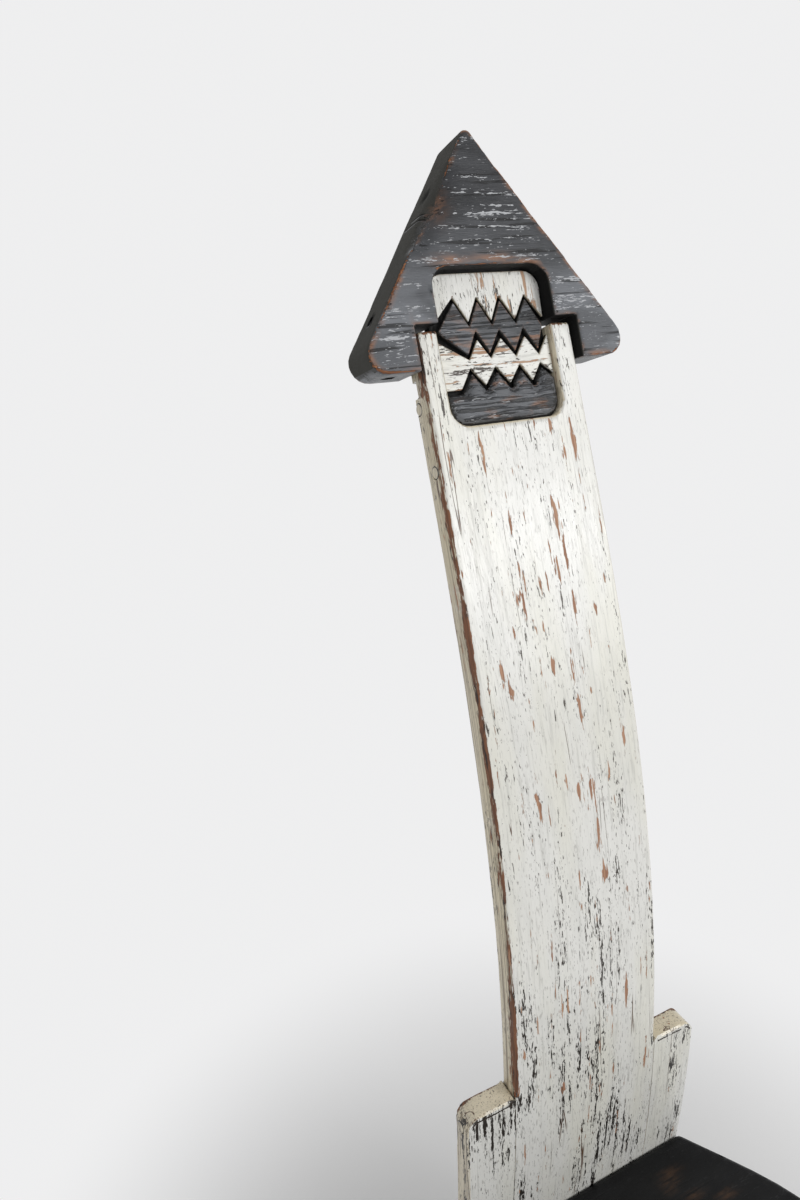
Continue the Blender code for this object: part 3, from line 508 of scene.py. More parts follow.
def makePaintBreaks():
    # where the paint is gone: bare wood at arrises and chips, dark undercoat in the open grain
    tree, given, result = newGroup(
        "paintBreaks", {"Vector": "place", "Float": "arris, spots, edgeWear, chips, specks, seed"},
        {"Float": "edge, chip, dark, rim, height"})
    grain, seed = grainOn(tree, given["place"]), given["seed"]
    ragged = minus(tree, grain(420, 80, 4, seed), 0.5)
    broad = grain(36, 9, 3, seed)
    width = times(tree, given["edgeWear"], ramp(tree, broad, 0.36, 0.66, 0.45, 2.0))
    edge = minus(tree, width, given["arris"])
    edge = timesPlus(tree, ragged, 0.0075, edge)
    edgeMask = ramp(tree, edge, 0.0, 0.0003)
    chipField = grain(150, 13, 3, plus(tree, seed, 4.0))
    chipField = timesPlus(tree, ragged, 0.34, chipField)
    chipField = plus(tree, chipField, given["spots"])
    line = minus(tree, 0.73, times(tree, given["chips"], 0.10))
    chipMask = ramp(tree, minus(tree, chipField, line), 0.0, 0.010)
    rimChip = ramp(tree, minus(tree, chipField, line), -0.016, -0.003)
    rimEdge = ramp(tree, edge, -0.0007, 0.0)
    cluster = ramp(tree, grain(21, 6, 4, plus(tree, seed, 8.0)), 0.43, 0.58, 0.08, 1.0)
    lanes = ramp(tree, grain(120, 5, 2, plus(tree, seed, 9.0)), 0.42, 0.60, 0.35, 1.35)
    amount = times(tree, times(tree, cluster, lanes), given["specks"])
    small = grain(540, 110, 3, plus(tree, seed, 1.0))
    smallLine = minus(tree, 0.70, times(tree, amount, 0.125))
    fine = ramp(tree, minus(tree, small, smallLine), 0.0, 0.012)
    marks = grain(300, 24, 4, plus(tree, seed, 2.0))
    marks = timesPlus(tree, ragged, 0.45, marks)
    markLine = minus(tree, 0.715, times(tree, amount, 0.105))
    long = ramp(tree, minus(tree, marks, markLine), 0.0, 0.010)
    dark = greater(tree, fine, long)
    plug(tree, result["edge"], edgeMask)
    plug(tree, result["chip"], chipMask)
    plug(tree, result["dark"], dark)
    plug(tree, result["rim"], greater(tree, rimChip, rimEdge))
    bare = greater(tree, edgeMask, chipMask)
    gone = greater(tree, bare, times(tree, dark, 0.6))
    plug(tree, result["height"], minus(tree, 1.0, gone))
    return tree


paintBreaks = makePaintBreaks()


def makeSplits():
    # long fine splits that follow the grain and break off
    inputs = {"Vector": "place", "Float": "across, along, amount, seed"}
    tree, given, result = newGroup("grainSplits", inputs, {"Float": "value"})
    grain = grainOn(tree, given["place"])
    wander = grain(given["across"], given["along"], 2, given["seed"])
    away = unsigned(tree, minus(tree, wander, 0.5))
    line = ramp(tree, away, 0.0015, 0.0050, 1.0, 0.0)
    part = grain(42, 5, 3, plus(tree, given["seed"], 3.0))
    part = plus(tree, part, given["amount"])
    plug(tree, result["value"], times(tree, line, ramp(tree, part, 0.58, 0.64)))
    return tree


grainSplits = makeSplits()


def splitsOn(tree, place, across, along, amount, seed):
    return useGroup(tree, grainSplits, place=place, across=across, along=along, amount=amount,
                    seed=seed)["value"]


def newMaterial(name):
    material = bpy.data.materials.new(name)
    material.use_nodes = True
    tree = material.node_tree
    return material, tree, tree.nodes["Principled BSDF"]


def readAttribute(tree, name, output="Fac"):
    return addNode(tree, "Attribute", {"attribute_name": name}).outputs[output]


def reliefOf(tree, shader, height, strength, distance):
    bump = addNode(tree, "Bump", Strength=strength, Distance=distance, Height=height)
    plug(tree, shader.inputs["Normal"], bump.outputs["Normal"])


def partOf(tree, vector, axis):
    return addNode(tree, "SeparateXYZ", Vector=vector).outputs[axis]


def objectPlace(tree):
    return addNode(tree, "TexCoord").outputs["Object"]


def facing(tree, axis):
    return partOf(tree, addNode(tree, "NewGeometry").outputs["Normal"], axis)


def sideways(tree):
    # 1 on the faces that look left or right
    return ramp(tree, unsigned(tree, facing(tree, "X")), 0.55, 0.80)


whiteLook = {
    "white": (0.81, 0.805, 0.768),
    "cream": (0.79, 0.78, 0.705),
    "thin": (0.47, 0.465, 0.43),
    "sideTint": (0.98, 0.88, 0.70),
    "sideLine": (0.24, 0.19, 0.13),
    "undercoat": (0.018, 0.015, 0.012),
    "chipLight": (0.52, 0.30, 0.185),
    "chipDark": (0.27, 0.125, 0.070),
    "edgeLight": (0.27, 0.112, 0.052),
    "edgeDark": (0.10, 0.042, 0.021),
    "roughness": 0.23,
    "edgeWear": 0.0016,
    "chips": 0.62,
    "specks": 0.62,
    "seatSpecks": 0.80,
    "splits": 0.03,
    "crackAt": 0.0079,  # how far under an arris the paint has cracked, as the arris attribute says it
    "crackHalf": (0.0008, 0.0017),
    "seed": 0.0,
}


def whitePaint(name, **changes):
    look = {**whiteLook, **changes}
    material, tree, shader = newMaterial(name)
    place = readAttribute(tree, "grainPlace", "Vector")
    grain = grainOn(tree, place)
    arris = readAttribute(tree, "arris")
    shade = readAttribute(tree, "shade")
    level = partOf(tree, objectPlace(tree), "Z")
    lowDown = ramp(tree, level, 0.45, 1.20, 1.0, 0.0)  # more of the undercoat shows near the seat
    specks = timesPlus(tree, lowDown, look["seatSpecks"], look["specks"])
    onTop = ramp(tree, facing(tree, "Z"), 0.55, 0.85)
    specks = times(tree, specks, minus(tree, 1.0, times(tree, onTop, 0.8)))
    breaks = useGroup(tree, paintBreaks, place=place, arris=arris, spots=readAttribute(tree, "spots"),
                      edgeWear=look["edgeWear"], chips=look["chips"], specks=specks, seed=look["seed"])
    chipWood = woodOn(tree, place, look["chipLight"], look["chipDark"])
    edgeWood = woodOn(tree, place, look["edgeLight"], look["edgeDark"])
    broad = ramp(tree, grain(15, 3.5, 3, 5 + look["seed"]), 0.42, 0.66)
    colour = blend(tree, broad, look["white"], look["cream"])
    thin = ramp(tree, grain(260, 14, 4, 6), 0.53, 0.68, 0.0, 0.40)
    colour = blend(tree, thin, colour, look["thin"])
    scuffs = grain(520, 90, 2, 8 + look["seed"])
    scuffs = times(tree, ramp(tree, scuffs, 0.58, 0.66), ramp(tree, broad, 0.0, 1.0, 0.9, 0.35))
    scuffs = times(tree, scuffs, timesPlus(tree, lowDown, 0.25, 0.5))
    colour = blend(tree, scuffs, colour, (0.30, 0.285, 0.26))
    cloud = ramp(tree, grain(60, 11, 3, 7), 0.48, 0.64, 0.0, 0.18)
    colour = blend(tree, cloud, colour, (0.60, 0.60, 0.57))
    tinted = blend(tree, 1.0, colour, look["sideTint"], "MULTIPLY")
    colour = blend(tree, onTop, colour, tinted)
    fineLines = ramp(tree, grain(480, 5, 3, 12), 0.50, 0.62, 0.0, 0.60)
    broadLines = ramp(tree, grain(190, 3.5, 4, 13), 0.53, 0.64, 0.0, 0.75)
    sideLines = greater(tree, fineLines, broadLines)
    sideLines = times(tree, sideLines, ramp(tree, level, 0.80, 1.40, 1.15, 0.60), clamp=True)
    tinted = blend(tree, sideLines, tinted, look["sideLine"])
    colour = blend(tree, sideways(tree), colour, tinted)
    colour = blend(tree, times(tree, breaks["rim"], 0.5), colour, (0.16, 0.105, 0.065))
    undercoat = blend(tree, lowDown, (0.060, 0.048, 0.038), look["undercoat"])
    colour = blend(tree, breaks["dark"], colour, undercoat)
    colour = blend(tree, breaks["chip"], colour, chipWood["colour"])
    splits = splitsOn(tree, place, 30.0, 1.1, look["splits"], look["seed"] + 11.0)
    colour = blend(tree, splits, colour, (0.115, 0.062, 0.036))
    away = minus(tree, grain(60, 60, 4, 27), 0.5)
    away = timesPlus(tree, away, 0.005, arris)
    away = unsigned(tree, minus(tree, away, look["crackAt"]))
    crack = ramp(tree, away, *look["crackHalf"], 1.0, 0.0)
    mark = readAttribute(tree, "mark")
    unbroken = timesPlus(tree, mark, 0.45, grain(90, 90, 2, 28))
    crack = times(tree, crack, ramp(tree, mark, 0.10, 0.30))
    crack = times(tree, crack, ramp(tree, unbroken, 0.58, 0.66))
    colour = blend(tree, crack, colour, (0.035, 0.024, 0.017))
    burnt = ramp(tree, grain(170, 28, 3, 9), 0.52, 0.64)
    edgeColour = blend(tree, burnt, edgeWood["colour"], (0.022, 0.012, 0.008))
    colour = blend(tree, breaks["edge"], colour, edgeColour)
    # near black where the shade attribute says: black paint with painted shade in the panels' gaps, and the
    # dark line round each peg
    colour = blend(tree, shade, colour, (0.011, 0.010, 0.009))
    plug(tree, shader.inputs["Base Color"], colour)
    bare = greater(tree, breaks["edge"], breaks["chip"])
    rough = timesPlus(tree, bare, 0.38, look["roughness"])
    rough = timesPlus(tree, breaks["dark"], 0.20, rough)
    plug(tree, shader.inputs["Roughness"], rough)
    brush = grain(240, 9, 3, 15)
    height = timesPlus(tree, brush, 0.8, breaks["height"])
    strokes = grain(46, 13, 4, 17)  # thick paint that breaks up the shine
    height = timesPlus(tree, strokes, 5.0, height)
    height = timesPlus(tree, greater(tree, splits, crack), -1.2, height)
    height = timesPlus(tree, edgeWood["height"], times(tree, bare, 0.6), height)
    reliefOf(tree, shader, height, 0.6, 0.0005)
    return material


blackLook = {
    "black": (0.016, 0.0165, 0.018),
    "worn": (0.042, 0.043, 0.047),
    # painted sheen: the pale colour of the clouds that stand in for reflected light
    "pale": (0.285, 0.300, 0.325),
    "sheenBelow": (1.50, 1.64),  # painted sheen: paler below the first height and fading out by the second, for the light reflected off the head's lower part
    # the side faces' colour: lighter than the black, as painted sheen
    "side": (0.060, 0.059, 0.053),
    # the dashes' silver: dust in the pores and painted glint
    "dash": (0.50, 0.51, 0.53),
    "rubbed": (0.43, 0.205, 0.105),
    "woodLight": (0.42, 0.19, 0.095),
    "woodDark": (0.12, 0.048, 0.026),
    "roughness": 0.36,
    "edgeWear": 0.0014,
    "rubReach": 0.0085,
    "chips": -1.0,
    "dashes": 1.0,
    "relief": 0.6,
    "grooves": 0.5,
    "poreLine": (0.36, 0.42),
    "clouds": 1.0,
    "patches": 0.0,
    "specular": 0.20,
    "seed": 3.0,
}


def blackPaint(name, **changes):
    look = {**blackLook, **changes}
    material, tree, shader = newMaterial(name)
    place = readAttribute(tree, "grainPlace", "Vector")
    grain = grainOn(tree, place)
    arris = readAttribute(tree, "arris")
    shade = readAttribute(tree, "shade")
    spots = readAttribute(tree, "spots")
    breaks = useGroup(tree, paintBreaks, place=place, arris=arris, spots=0.0, edgeWear=look["edgeWear"],
                      chips=look["chips"], specks=0.1, seed=look["seed"])
    wood = woodOn(tree, place, look["woodLight"], look["woodDark"])
    broad = ramp(tree, grain(26, 10, 4, 5), 0.40, 0.62)
    colour = blend(tree, broad, look["black"], look["worn"])
    level = partOf(tree, objectPlace(tree), "Z")
    # painted sheen: pale clouds, full low down and fading out up the head, stand in for the reflection that
    # brightens its lower part
    sheenLow = ramp(tree, level, *look["sheenBelow"], 1.0, 0.12)
    cloud = ramp(tree, grain(20, 10, 4, 25), 0.42, 0.60, 0.50, 1.0)
    cloud = times(tree, cloud, sheenLow)
    colour = blend(tree, times(tree, cloud, 0.75 * look["clouds"]), colour, look["pale"])
    # silver dashes in rows along the grain: partly dust in the open pores, partly a painted glint of light
    # on the grain; thickest at the listed scuffs, which are painted highlights
    lines = grain(780, 130, 3, 6 + look["seed"])
    rows = ramp(tree, grain(170, 3, 2, 11 + look["seed"]), 0.46, 0.64)
    bands = ramp(tree, grain(30, 9, 3, 14 + look["seed"]), 0.36, 0.58, 0.35, 1.0)
    scuffGlints = readAttribute(tree, "mark")
    dashLine = ramp(tree, times(tree, rows, bands), 0.0, 1.0, 0.70, 0.545)
    dashLine = timesPlus(tree, scuffGlints, -0.13, dashLine)
    dashes = ramp(tree, minus(tree, lines, dashLine), 0.0, 0.035)
    dashes = times(tree, dashes, look["dashes"])
    pores = ramp(tree, grain(240, 11, 3, 16 + look["seed"]), *look["poreLine"], 1.0, 0.0)
    near = ramp(tree, arris, 0.0, look["rubReach"], 0.9, 0.0)  # paint rubbed thin towards the arrises
    near = times(tree, near, ramp(tree, grain(48, 16, 3, 21), 0.44, 0.60))
    patchy = ramp(tree, grain(200, 40, 3, 23), 0.38, 0.56, 0.3, 1.0)
    near = greater(tree, near, times(tree, spots, 9.0, clamp=True))
    soft = ramp(tree, grain(75, 24, 3, 33 + look["seed"]), 0.53, 0.64)
    near = greater(tree, near, times(tree, soft, look["patches"]))
    colour = blend(tree, times(tree, near, patchy), colour, look["rubbed"])
    colour = blend(tree, times(tree, pores, 0.80), colour, (0.007, 0.007, 0.007))
    colour = blend(tree, dashes, colour, look["dash"])
    # painted sheen: the side faces are painted a lighter olive that stands in for the reflection their
    # higher roughness takes away
    colour = blend(tree, sideways(tree), colour, look["side"])
    bare = greater(tree, breaks["edge"], breaks["chip"])
    colour = blend(tree, times(tree, breaks["rim"], 0.6), colour, (0.006, 0.005, 0.005))
    colour = blend(tree, bare, colour, wood["colour"])
    splits = splitsOn(tree, place, 36.0, 2.4, 0.04, look["seed"] + 31.0)
    colour = blend(tree, splits, colour, (0.006, 0.006, 0.006))
    # near black where the shade attribute says: painted shade on the walls of the head's window and notch,
    # in its holes, in the panels' gaps and on the backing, and the head's dark knot and splits
    colour = blend(tree, shade, colour, (0.006, 0.006, 0.006))
    plug(tree, shader.inputs["Base Color"], colour)
    rough = timesPlus(tree, bare, 0.30, look["roughness"])
    rough = timesPlus(tree, shade, 0.30, rough)
    rough = timesPlus(tree, sideways(tree), 0.50, rough)
    plug(tree, shader.inputs["Roughness"], rough)
    shader.inputs["Specular IOR Level"].default_value = look["specular"]
    height = timesPlus(tree, lines, 2.0, breaks["height"])
    height = timesPlus(tree, splits, -1.5, height)
    height = timesPlus(tree, pores, -look["grooves"], height)
    height = timesPlus(tree, grain(34, 16, 3, 28), 6.0, height)
    reliefOf(tree, shader, height, look["relief"], 0.0005)
    return material


def plainWood():
    # unpainted wood of the hidden blocks and dowels
    material, tree, shader = newMaterial("unpaintedWood")
    wood = woodOn(tree, objectPlace(tree), (0.50, 0.32, 0.18), (0.27, 0.155, 0.08))
    plug(tree, shader.inputs["Base Color"], wood["colour"])
    shader.inputs["Roughness"].default_value = 0.72
    reliefOf(tree, shader, wood["height"], 0.4, 0.0004)
    return material


def wornSteel():
    material, tree, shader = newMaterial("screwSteel")
    grain = grainOn(tree, objectPlace(tree))
    spots = ramp(tree, grain(300, 300, 4, 1), 0.50, 0.66)
    plug(tree, shader.inputs["Base Color"], blend(tree, spots, (0.45, 0.44, 0.42), (0.17, 0.09, 0.05)))
    plug(tree, shader.inputs["Metallic"], minus(tree, 1.0, spots))
    plug(tree, shader.inputs["Roughness"], timesPlus(tree, spots, 0.35, 0.38))
    return material


# Pieces
def boardGrain(place):
    return place


def acrossGrain(place):
    return Vector((place.z, place.y, place.x))


def lengthGrain(place):
    return Vector((place.x, place.z, place.y))


def seatGrain(place):
    return Vector((place.y, place.z, place.x))


boards = (unbow, smoothBow)
hornTop = backBow["height"]


def plankRub(nearest, place, distance):
    # the left front arris is rubbed down to the wood and the others hardly at all
    kept = plankLook["kept"]
    if plankHalf(nearest.z) - abs(nearest.x) > kept["band"]:
        return distance + kept["tops" if nearest.z > hornTop - kept["band"] else "window"]
    atFront = nearest.y < plankSize["thickness"] / 2
    if nearest.x < 0 and atFront:
        return distance * kept["leftFace" if place.y < kept["faceBand"] else "leftSide"]
    return distance + kept["front" if atFront else "rear"]


def legRub(nearest, place, distance):
    # the shoulders' rear arrises have lost their paint, and their front ones have kept it
    kept = legLook["kept"]
    if nearest.z > kept["shoulderFrom"] and nearest.y > plankSize["thickness"] / 2:
        return distance + kept["rear"]
    return distance + kept["front" if nearest.z > kept["footBelow"] else "foot"]


def roundShoulder(place):
    # the shoulders' outer corners are worn rounder than they were cut
    side = place.x > 0
    radius = plankSize["shoulderRadius"]
    across = abs(place.x) - (plankSize["halfBack"] - radius)
    up = place.z - (plankSize["shoulders"][side] - radius)
    out = math.hypot(across, up)
    if across <= 0 or up <= 0 or out <= radius:
        return place
    across, up = across * radius / out, up * radius / out
    x = plankSize["halfBack"] - radius + across
    return Vector((math.copysign(x, place.x), place.y, plankSize["shoulders"][side] - radius + up))


def legMark(nearest, place, distance):
    # the band under the shoulders' front arrises, where the paint has cracked
    kept, slack = legLook["kept"], legLook["crackSlack"]
    onFront = place.y < slack and nearest.y < plankSize["arris"] + slack
    if not onFront or nearest.z < kept["shoulderFrom"]:
        return 0.0
    if nearest.z - place.z + slack < 0.6 * (distance - kept["front"]):
        return 0.0
    return legLook["cracked"][place.x > 0]


def headRub(nearest, place, distance):
    # worn in patches along the slopes, and thinly round the window and the notch
    kept, top = headLook["kept"], hornTop + headLook["windowTop"]
    if abs(nearest.x) < kept["openingHalf"] and nearest.z < top + kept["band"]:
        return distance + kept["windowTop" if nearest.z > top - kept["band"] else "opening"]
    worn = 0.0
    for x, height, reach in headLook["wornPatches"]:
        away = math.hypot(nearest.x - x, nearest.z - hornTop - height) / reach
        worn = max(worn, math.exp(-away * away))
    if nearest.y > kept["rearFrom"]:
        worn = kept["rearWorn"]
    rough = fraction(0.5 + 1.5 * streak(nearest, 21, 21, 4.4))
    return distance + kept["slopes"] * (1 - worn) * (0.30 + 0.70 * rough)


# painted highlights at the listed scuffs
def headGlintMark(nearest, place, distance):
    return spotBias(place, headLook["scuffs"])


def headShade(place, low):
    # painted shade: the walls of the window and the notch and the holes are painted near black, darker than
    # the black paint; the knot and the splits, the wood's own dark flaws, are near black too
    size, behind = headLook["openings"], place.y - low.y
    if behind < size["wallFrom"]:
        return 0.0
    height = place.z - hornTop - behind * math.tan(headRake)
    inWindow = abs(place.x) < size["windowHalf"] and height < headLook["windowTop"] + size["wallFrom"]
    inNotch = abs(place.x) < size["notchHalf"] and height < size["notchTop"]
    if inWindow or inNotch or atHole(place):
        return 1.0
    return flawShare(place)


def flawShare(place):
    # the knot and the splits in the left slope
    knot = (place - Vector(headLook["knot"])).length / headLook["knotRadius"]
    share = fraction(1.6 - knot)
    behind = place.y - headFace
    height = place.z - hornTop - behind * math.tan(headRake)
    for level, first, last in headSplits:
        if place.x < 0 and first < behind < last and abs(height - level) < headLook["splitHalf"]:
            share = 1.0
    return share


def panelShade(place, low):
    # a panel's sides and back are painted near black: the black paint in the gaps, with painted shade there
    return fraction((place.y - low.y - panelLook["lit"]) / panelLook["fade"])


# chips of the back's front face; each range is the least, the most and the most frequent value of: place
# across, place up the board, half width, half length and strength
chipSpread = {
    "count": 40,
    "seed": 5,
    "ranges": [(-0.080, 0.085, 0.020), (0.18, 1.06, 0.85), (0.0024, 0.0050, 0.0026),
               (0.005, 0.028, 0.011), (0.19, 0.22, 0.215)],
}


def strewChips(chips):
    draw = random.Random(chips["seed"])
    spots = []
    for _ in range(chips["count"]):
        x, height, wide, long, strength = [draw.triangular(*span) for span in chips["ranges"]]
        spots.append((x, 0, height, wide, long, strength))
    return spots


plankLook = {
    "name": "worn_back_plank",
    "spaces": boards,
    "cell": (0.0026, None, 0.0062),
    "rims": [
        *({"point": (side * plankSize["seatWidth"] / 2, 0, 0), "normal": (side, 0, plankSize["sideTaper"]),
           "offsets": (0.0011, 0.0040, 0.0062)} for side in (1, -1)),
        {"point": (0, 0, 0), "normal": (0, -1, 0), "offsets": (-0.0011, -0.0035, -0.0070, -0.0145)},
        {"point": (0, plankSize["thickness"], 0), "normal": (0, 1, 0),
         "offsets": (0.0011, 0.0035, 0.0070)},
    ],
    "reach": 0.0055,
    "chipDepth": 0.0020,
    "wave": 0.0004,
    "grain": boardGrain,
    "seam": inPlankSeam,
    "seamReach": 0.00018,
    "fixings": atPlug,
    "smoothAngle": 30,
    "rub": plankRub,
    # how much paint each arris keeps, and the share of the left front one's distance that counts
    "kept": {"band": 0.004, "tops": 0.0012, "window": 0.006, "front": 0.0048, "rear": 0.0028,
             "leftFace": 1.7, "leftSide": 0.78, "faceBand": 0.0006},
    "spots": strewChips(chipSpread),
}

legLook = {
    "spaces": boards,
    "cell": (0.0075, 0.0058, 0.0055),
    "reach": 0.0055,
    "chipDepth": 0.0018,
    "wave": 0.0004,
    "grain": boardGrain,
    "seam": inLegSeam,
    "seamReach": -0.00018,
    "fixings": atPlug,
    "smoothAngle": 30,
    "rub": legRub,
    "kept": {"rear": 0.0008, "front": 0.0034, "foot": 0.0012, "shoulderFrom": 0.17, "footBelow": -0.2},
    "mark": legMark,
    "cracked": (1.0, 0.4),  # left and right
    "crackSlack": 0.0008,
    "roundOff": roundShoulder,
}

headRake = math.radians(5.0)  # the head's top faces rise towards the rear
headFace = -0.010
# the splits: height above the horns, and where each starts and ends behind the front face
headSplits = [(0.1126, 0.0020, 0.048), (0.1180, 0.0120, 0.036)]


def onHead(*spots):
    # spots of the front face, each with its height above the horns
    return [(x, headFace, hornTop + height, *sizes) for x, height, *sizes in spots]


headLook = {
    "name": "worn_head",
    "spaces": boards,
    "cell": (0.0045, 0.0058, 0.0045),
    "reach": 0.0070,
    "chipDepth": 0.0022,
    "wave": 0.0007,
    "grain": acrossGrain,
    "rub": headRub,
    "shade": headShade,
    "mark": headGlintMark,
    "fixings": atHole,
    "windowTop": 0.060,
    "knot": (-0.043, 0.0204, hornTop + 0.144),
    "knotRadius": 0.0060,
    "flawDepth": 0.0014,
    "splitHalf": 0.0004,
    "rims": [{"point": (0, headFace, hornTop + level), "offsets": (-0.0010, 0.0, 0.0010),
              "normal": (0, -math.sin(headRake), math.cos(headRake))} for level, _, _ in headSplits],
    "kept": {"slopes": 0.0024, "windowTop": 0.0012, "opening": 0.0034, "openingHalf": 0.100, "band": 0.004,
             "rearFrom": 0.02, "rearWorn": 0.5},
    "openings": {"wallFrom": 0.0015, "windowHalf": 0.0705, "notchHalf": 0.0985, "notchTop": 0.0055},
    # x, height above the horns and reach
    "wornPatches": [(-0.063, 0.102, 0.030), (-0.038, 0.142, 0.016), (-0.122, 0.027, 0.018),
                    (0.066, 0.103, 0.024), (0.046, 0.130, 0.020), (0.025, 0.161, 0.014),
                    (0.011, 0.181, 0.014), (0.120, 0.031, 0.017)],
    "spots": onHead(
        (-0.044, 0.066, 0.020, 0.0045, 0.075),
        (0.006, 0.067, 0.026, 0.0040, 0.065),
        (-0.052, 0.125, 0.012, 0.0160, 0.05),
        (-0.106, -0.039, 0.014, 0.0018, 0.04),
        (-0.098, -0.012, 0.0022, 0.0180, 0.05),
    ),
    # painted highlights: scuffs where the head catches the light, painted with more silver dashes
    "scuffs": onHead(
        (0.006, 0.112, 0.036, 0.0060, 1.0),
        (0.060, 0.066, 0.024, 0.0055, 1.3),
        (-0.036, 0.086, 0.050, 0.0030, 0.6),
        (-0.118, -0.010, 0.022, 0.0280, 0.85),
        (0.105, 0.010, 0.026, 0.0320, 0.5),
        (-0.005, 0.078, 0.075, 0.0100, 0.6),
        (0.000, 0.150, 0.014, 0.0025, 0.8),
        (-0.092, 0.012, 0.008, 0.0050, 1.0),
    ),
    "gouges": [{"height": hornTop + 0.120, "half": 0.046, "reach": 0.020, "depth": 0.0165,
                "behind": 0.02}],
}

panelLook = {
    "spaces": boards,
    "cell": (0.0025, 0.0020, 0.0025),
    "reach": 0.0022,
    "chipDepth": 0.0008,
    "wave": 0.0004,
    "grain": acrossGrain,
    "kept": 0.0011,
    "shade": panelShade,
    "lit": 0.0016,
    "fade": 0.0012,
}

upperLook = {**panelLook, "grain": boardGrain}
# how far the jaw's edges round off, how deep, and how far its middle stands out
jawLook = {**panelLook, "pillow": (0.014, 0.0065, 0.002)}
# the backing shows only in the gaps and is painted near black all over: black paint with painted shade
backingLook = {**panelLook, "name": "dark_backing", "cell": (0.02, None, 0.02), "grain": boardGrain,
               "shade": fullShade}

frameLook = {
    "cell": (0.0080, 0.0080, 0.0080),
    "reach": 0.0050,
    "chipDepth": 0.0014,
    "wave": 0.0003,
    "kept": 0.0015,
}

seatLook = {
    "name": "worn_seat",
    "cell": (0.009, 0.009, 0.008),
    "reach": 0.008,
    "chipDepth": 0.0014,
    "wave": 0.0003,
    "grain": seatGrain,
    "kept": 0.0035,
    "spotAxes": (0, 1),
    # scratches near the back's right side: x and y from the back's face
    "spots": [(x, backBow["faceY"] + y, backBow["seatHeight"], wide, long, 0.07) for x, y, wide, long in (
        (0.120, -0.034, 0.014, 0.003), (0.112, -0.043, 0.012, 0.003), (0.105, -0.051, 0.009, 0.003),
        (0.128, -0.073, 0.012, 0.003), (0.165, -0.090, 0.012, 0.003))],
}


plugRim = 0.0095
plugPlaces = []  # where the rods that are painted over start, on the flat board
holeRim = 0.0068
holeReach = 0.030
# where the head's holes end and which way they run, on the flat board; its screws add theirs
holePlaces = [(Vector((-0.124, 0.018, hornTop - 0.042)), Vector((0, 0, 1)))]


def makePieces():
    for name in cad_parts:
        if "plug" in name or name == "cross_dowel":
            plugPlaces.append(unbow(rodAxis(name)[0]))
        if name.startswith("head_screw"):
            start, axis, length, _ = rodAxis(name)
            flatStart = unbow(start)
            holePlaces.append((flatStart, (unbow(start + axis * length) - flatStart).normalized()))
    whiteBoards = whitePaint("wornWhiteBoards")
    whiteLegs = whitePaint("wornWhiteLegs", seed=20.0, specks=0.95, chips=0.20)
    whitePanels = whitePaint("wornWhitePanels", edgeWear=0.0004, chips=1.15, specks=1.0, seed=31.0,
                             splits=-0.05, chipLight=(0.56, 0.37, 0.25), chipDark=(0.36, 0.21, 0.13))
    blackHead = blackPaint("wornBlackHead")
    blackPanels = blackPaint("wornBlackPanels", edgeWear=0.0002, dashes=0.8, clouds=0.60, patches=0.50,
                             rubReach=0.0028, specular=0.38, relief=1.0, grooves=2.2, poreLine=(0.43, 0.50),
                             seed=12.0)
    blackSeat = blackPaint("wornBlackSeat", black=(0.004, 0.004, 0.004), worn=(0.008, 0.008, 0.008),
                           dashes=0.03, clouds=0.02, specular=0.12, edgeWear=0.0010, rubReach=0.004,
                           seed=40.0, rubbed=(0.11, 0.060, 0.034))
    wornPiece("back_plank", plankLook, whiteBoards)
    for word in ("left", "right"):
        wornPiece("rear_leg_" + word, legLook, whiteLegs)
    print("back boards done")
    wornPiece("head_block", headLook, blackHead)
    wornPiece("upper_tooth_panel", upperLook, whitePanels)
    wornPiece("middle_tooth_panel", panelLook, blackPanels)
    wornPiece("lower_tooth_panel", panelLook, whitePanels)
    wornPiece("jaw_panel", jawLook, blackPanels)
    wornPiece("inlay_backing", backingLook, blackPanels)
    print("head and inlays done")
    wornPiece("seat_board", seatLook, blackSeat)
    for word in ("left", "right"):
        wornPiece("front_leg_" + word, {**frameLook, "grain": boardGrain}, whiteLegs)
        wornPiece("side_rail_" + word, {**frameLook, "grain": lengthGrain}, whiteLegs)
    for word in ("front", "rear"):
        wornPiece(word + "_rail", {**frameLook, "grain": acrossGrain}, whiteLegs)
    print("seat and frame done")


# Pegs and screws, grown from the axes of the solids' own rods
pegSize = {
    "sides": 28,
    "chamfer": 0.0018,
    "over": 0.00035,  # over the solid's radius, so that the peg fills its bore
    "proud": 0.0002,
    "rimShade": 2.6,
}

screwSize = {
    "headRadius": 0.0042,
    "headDepth": 0.0028,
    "slotWidth": 0.0010,
    "shankRadius": 0.0019,
    "nominalLength": 0.050,
    "threadPitch": 0.0024,
    "threadHeight": 0.0006,
}


def newGrowth(name, inputs):
    return newGroup(name, {"Geometry": "Geometry", **inputs, "Material": "Material"},
                    {"Geometry": "Geometry"}, "GeometryNodeTree")


def endGrowth(tree, geometry, material, result):
    whole = addGeo(tree, "RealizeInstances", Geometry=geometry)
    painted = addGeo(tree, "SetMaterial", Geometry=whole.outputs[0], Material=material)
    plug(tree, result["Geometry"], painted.outputs[0])


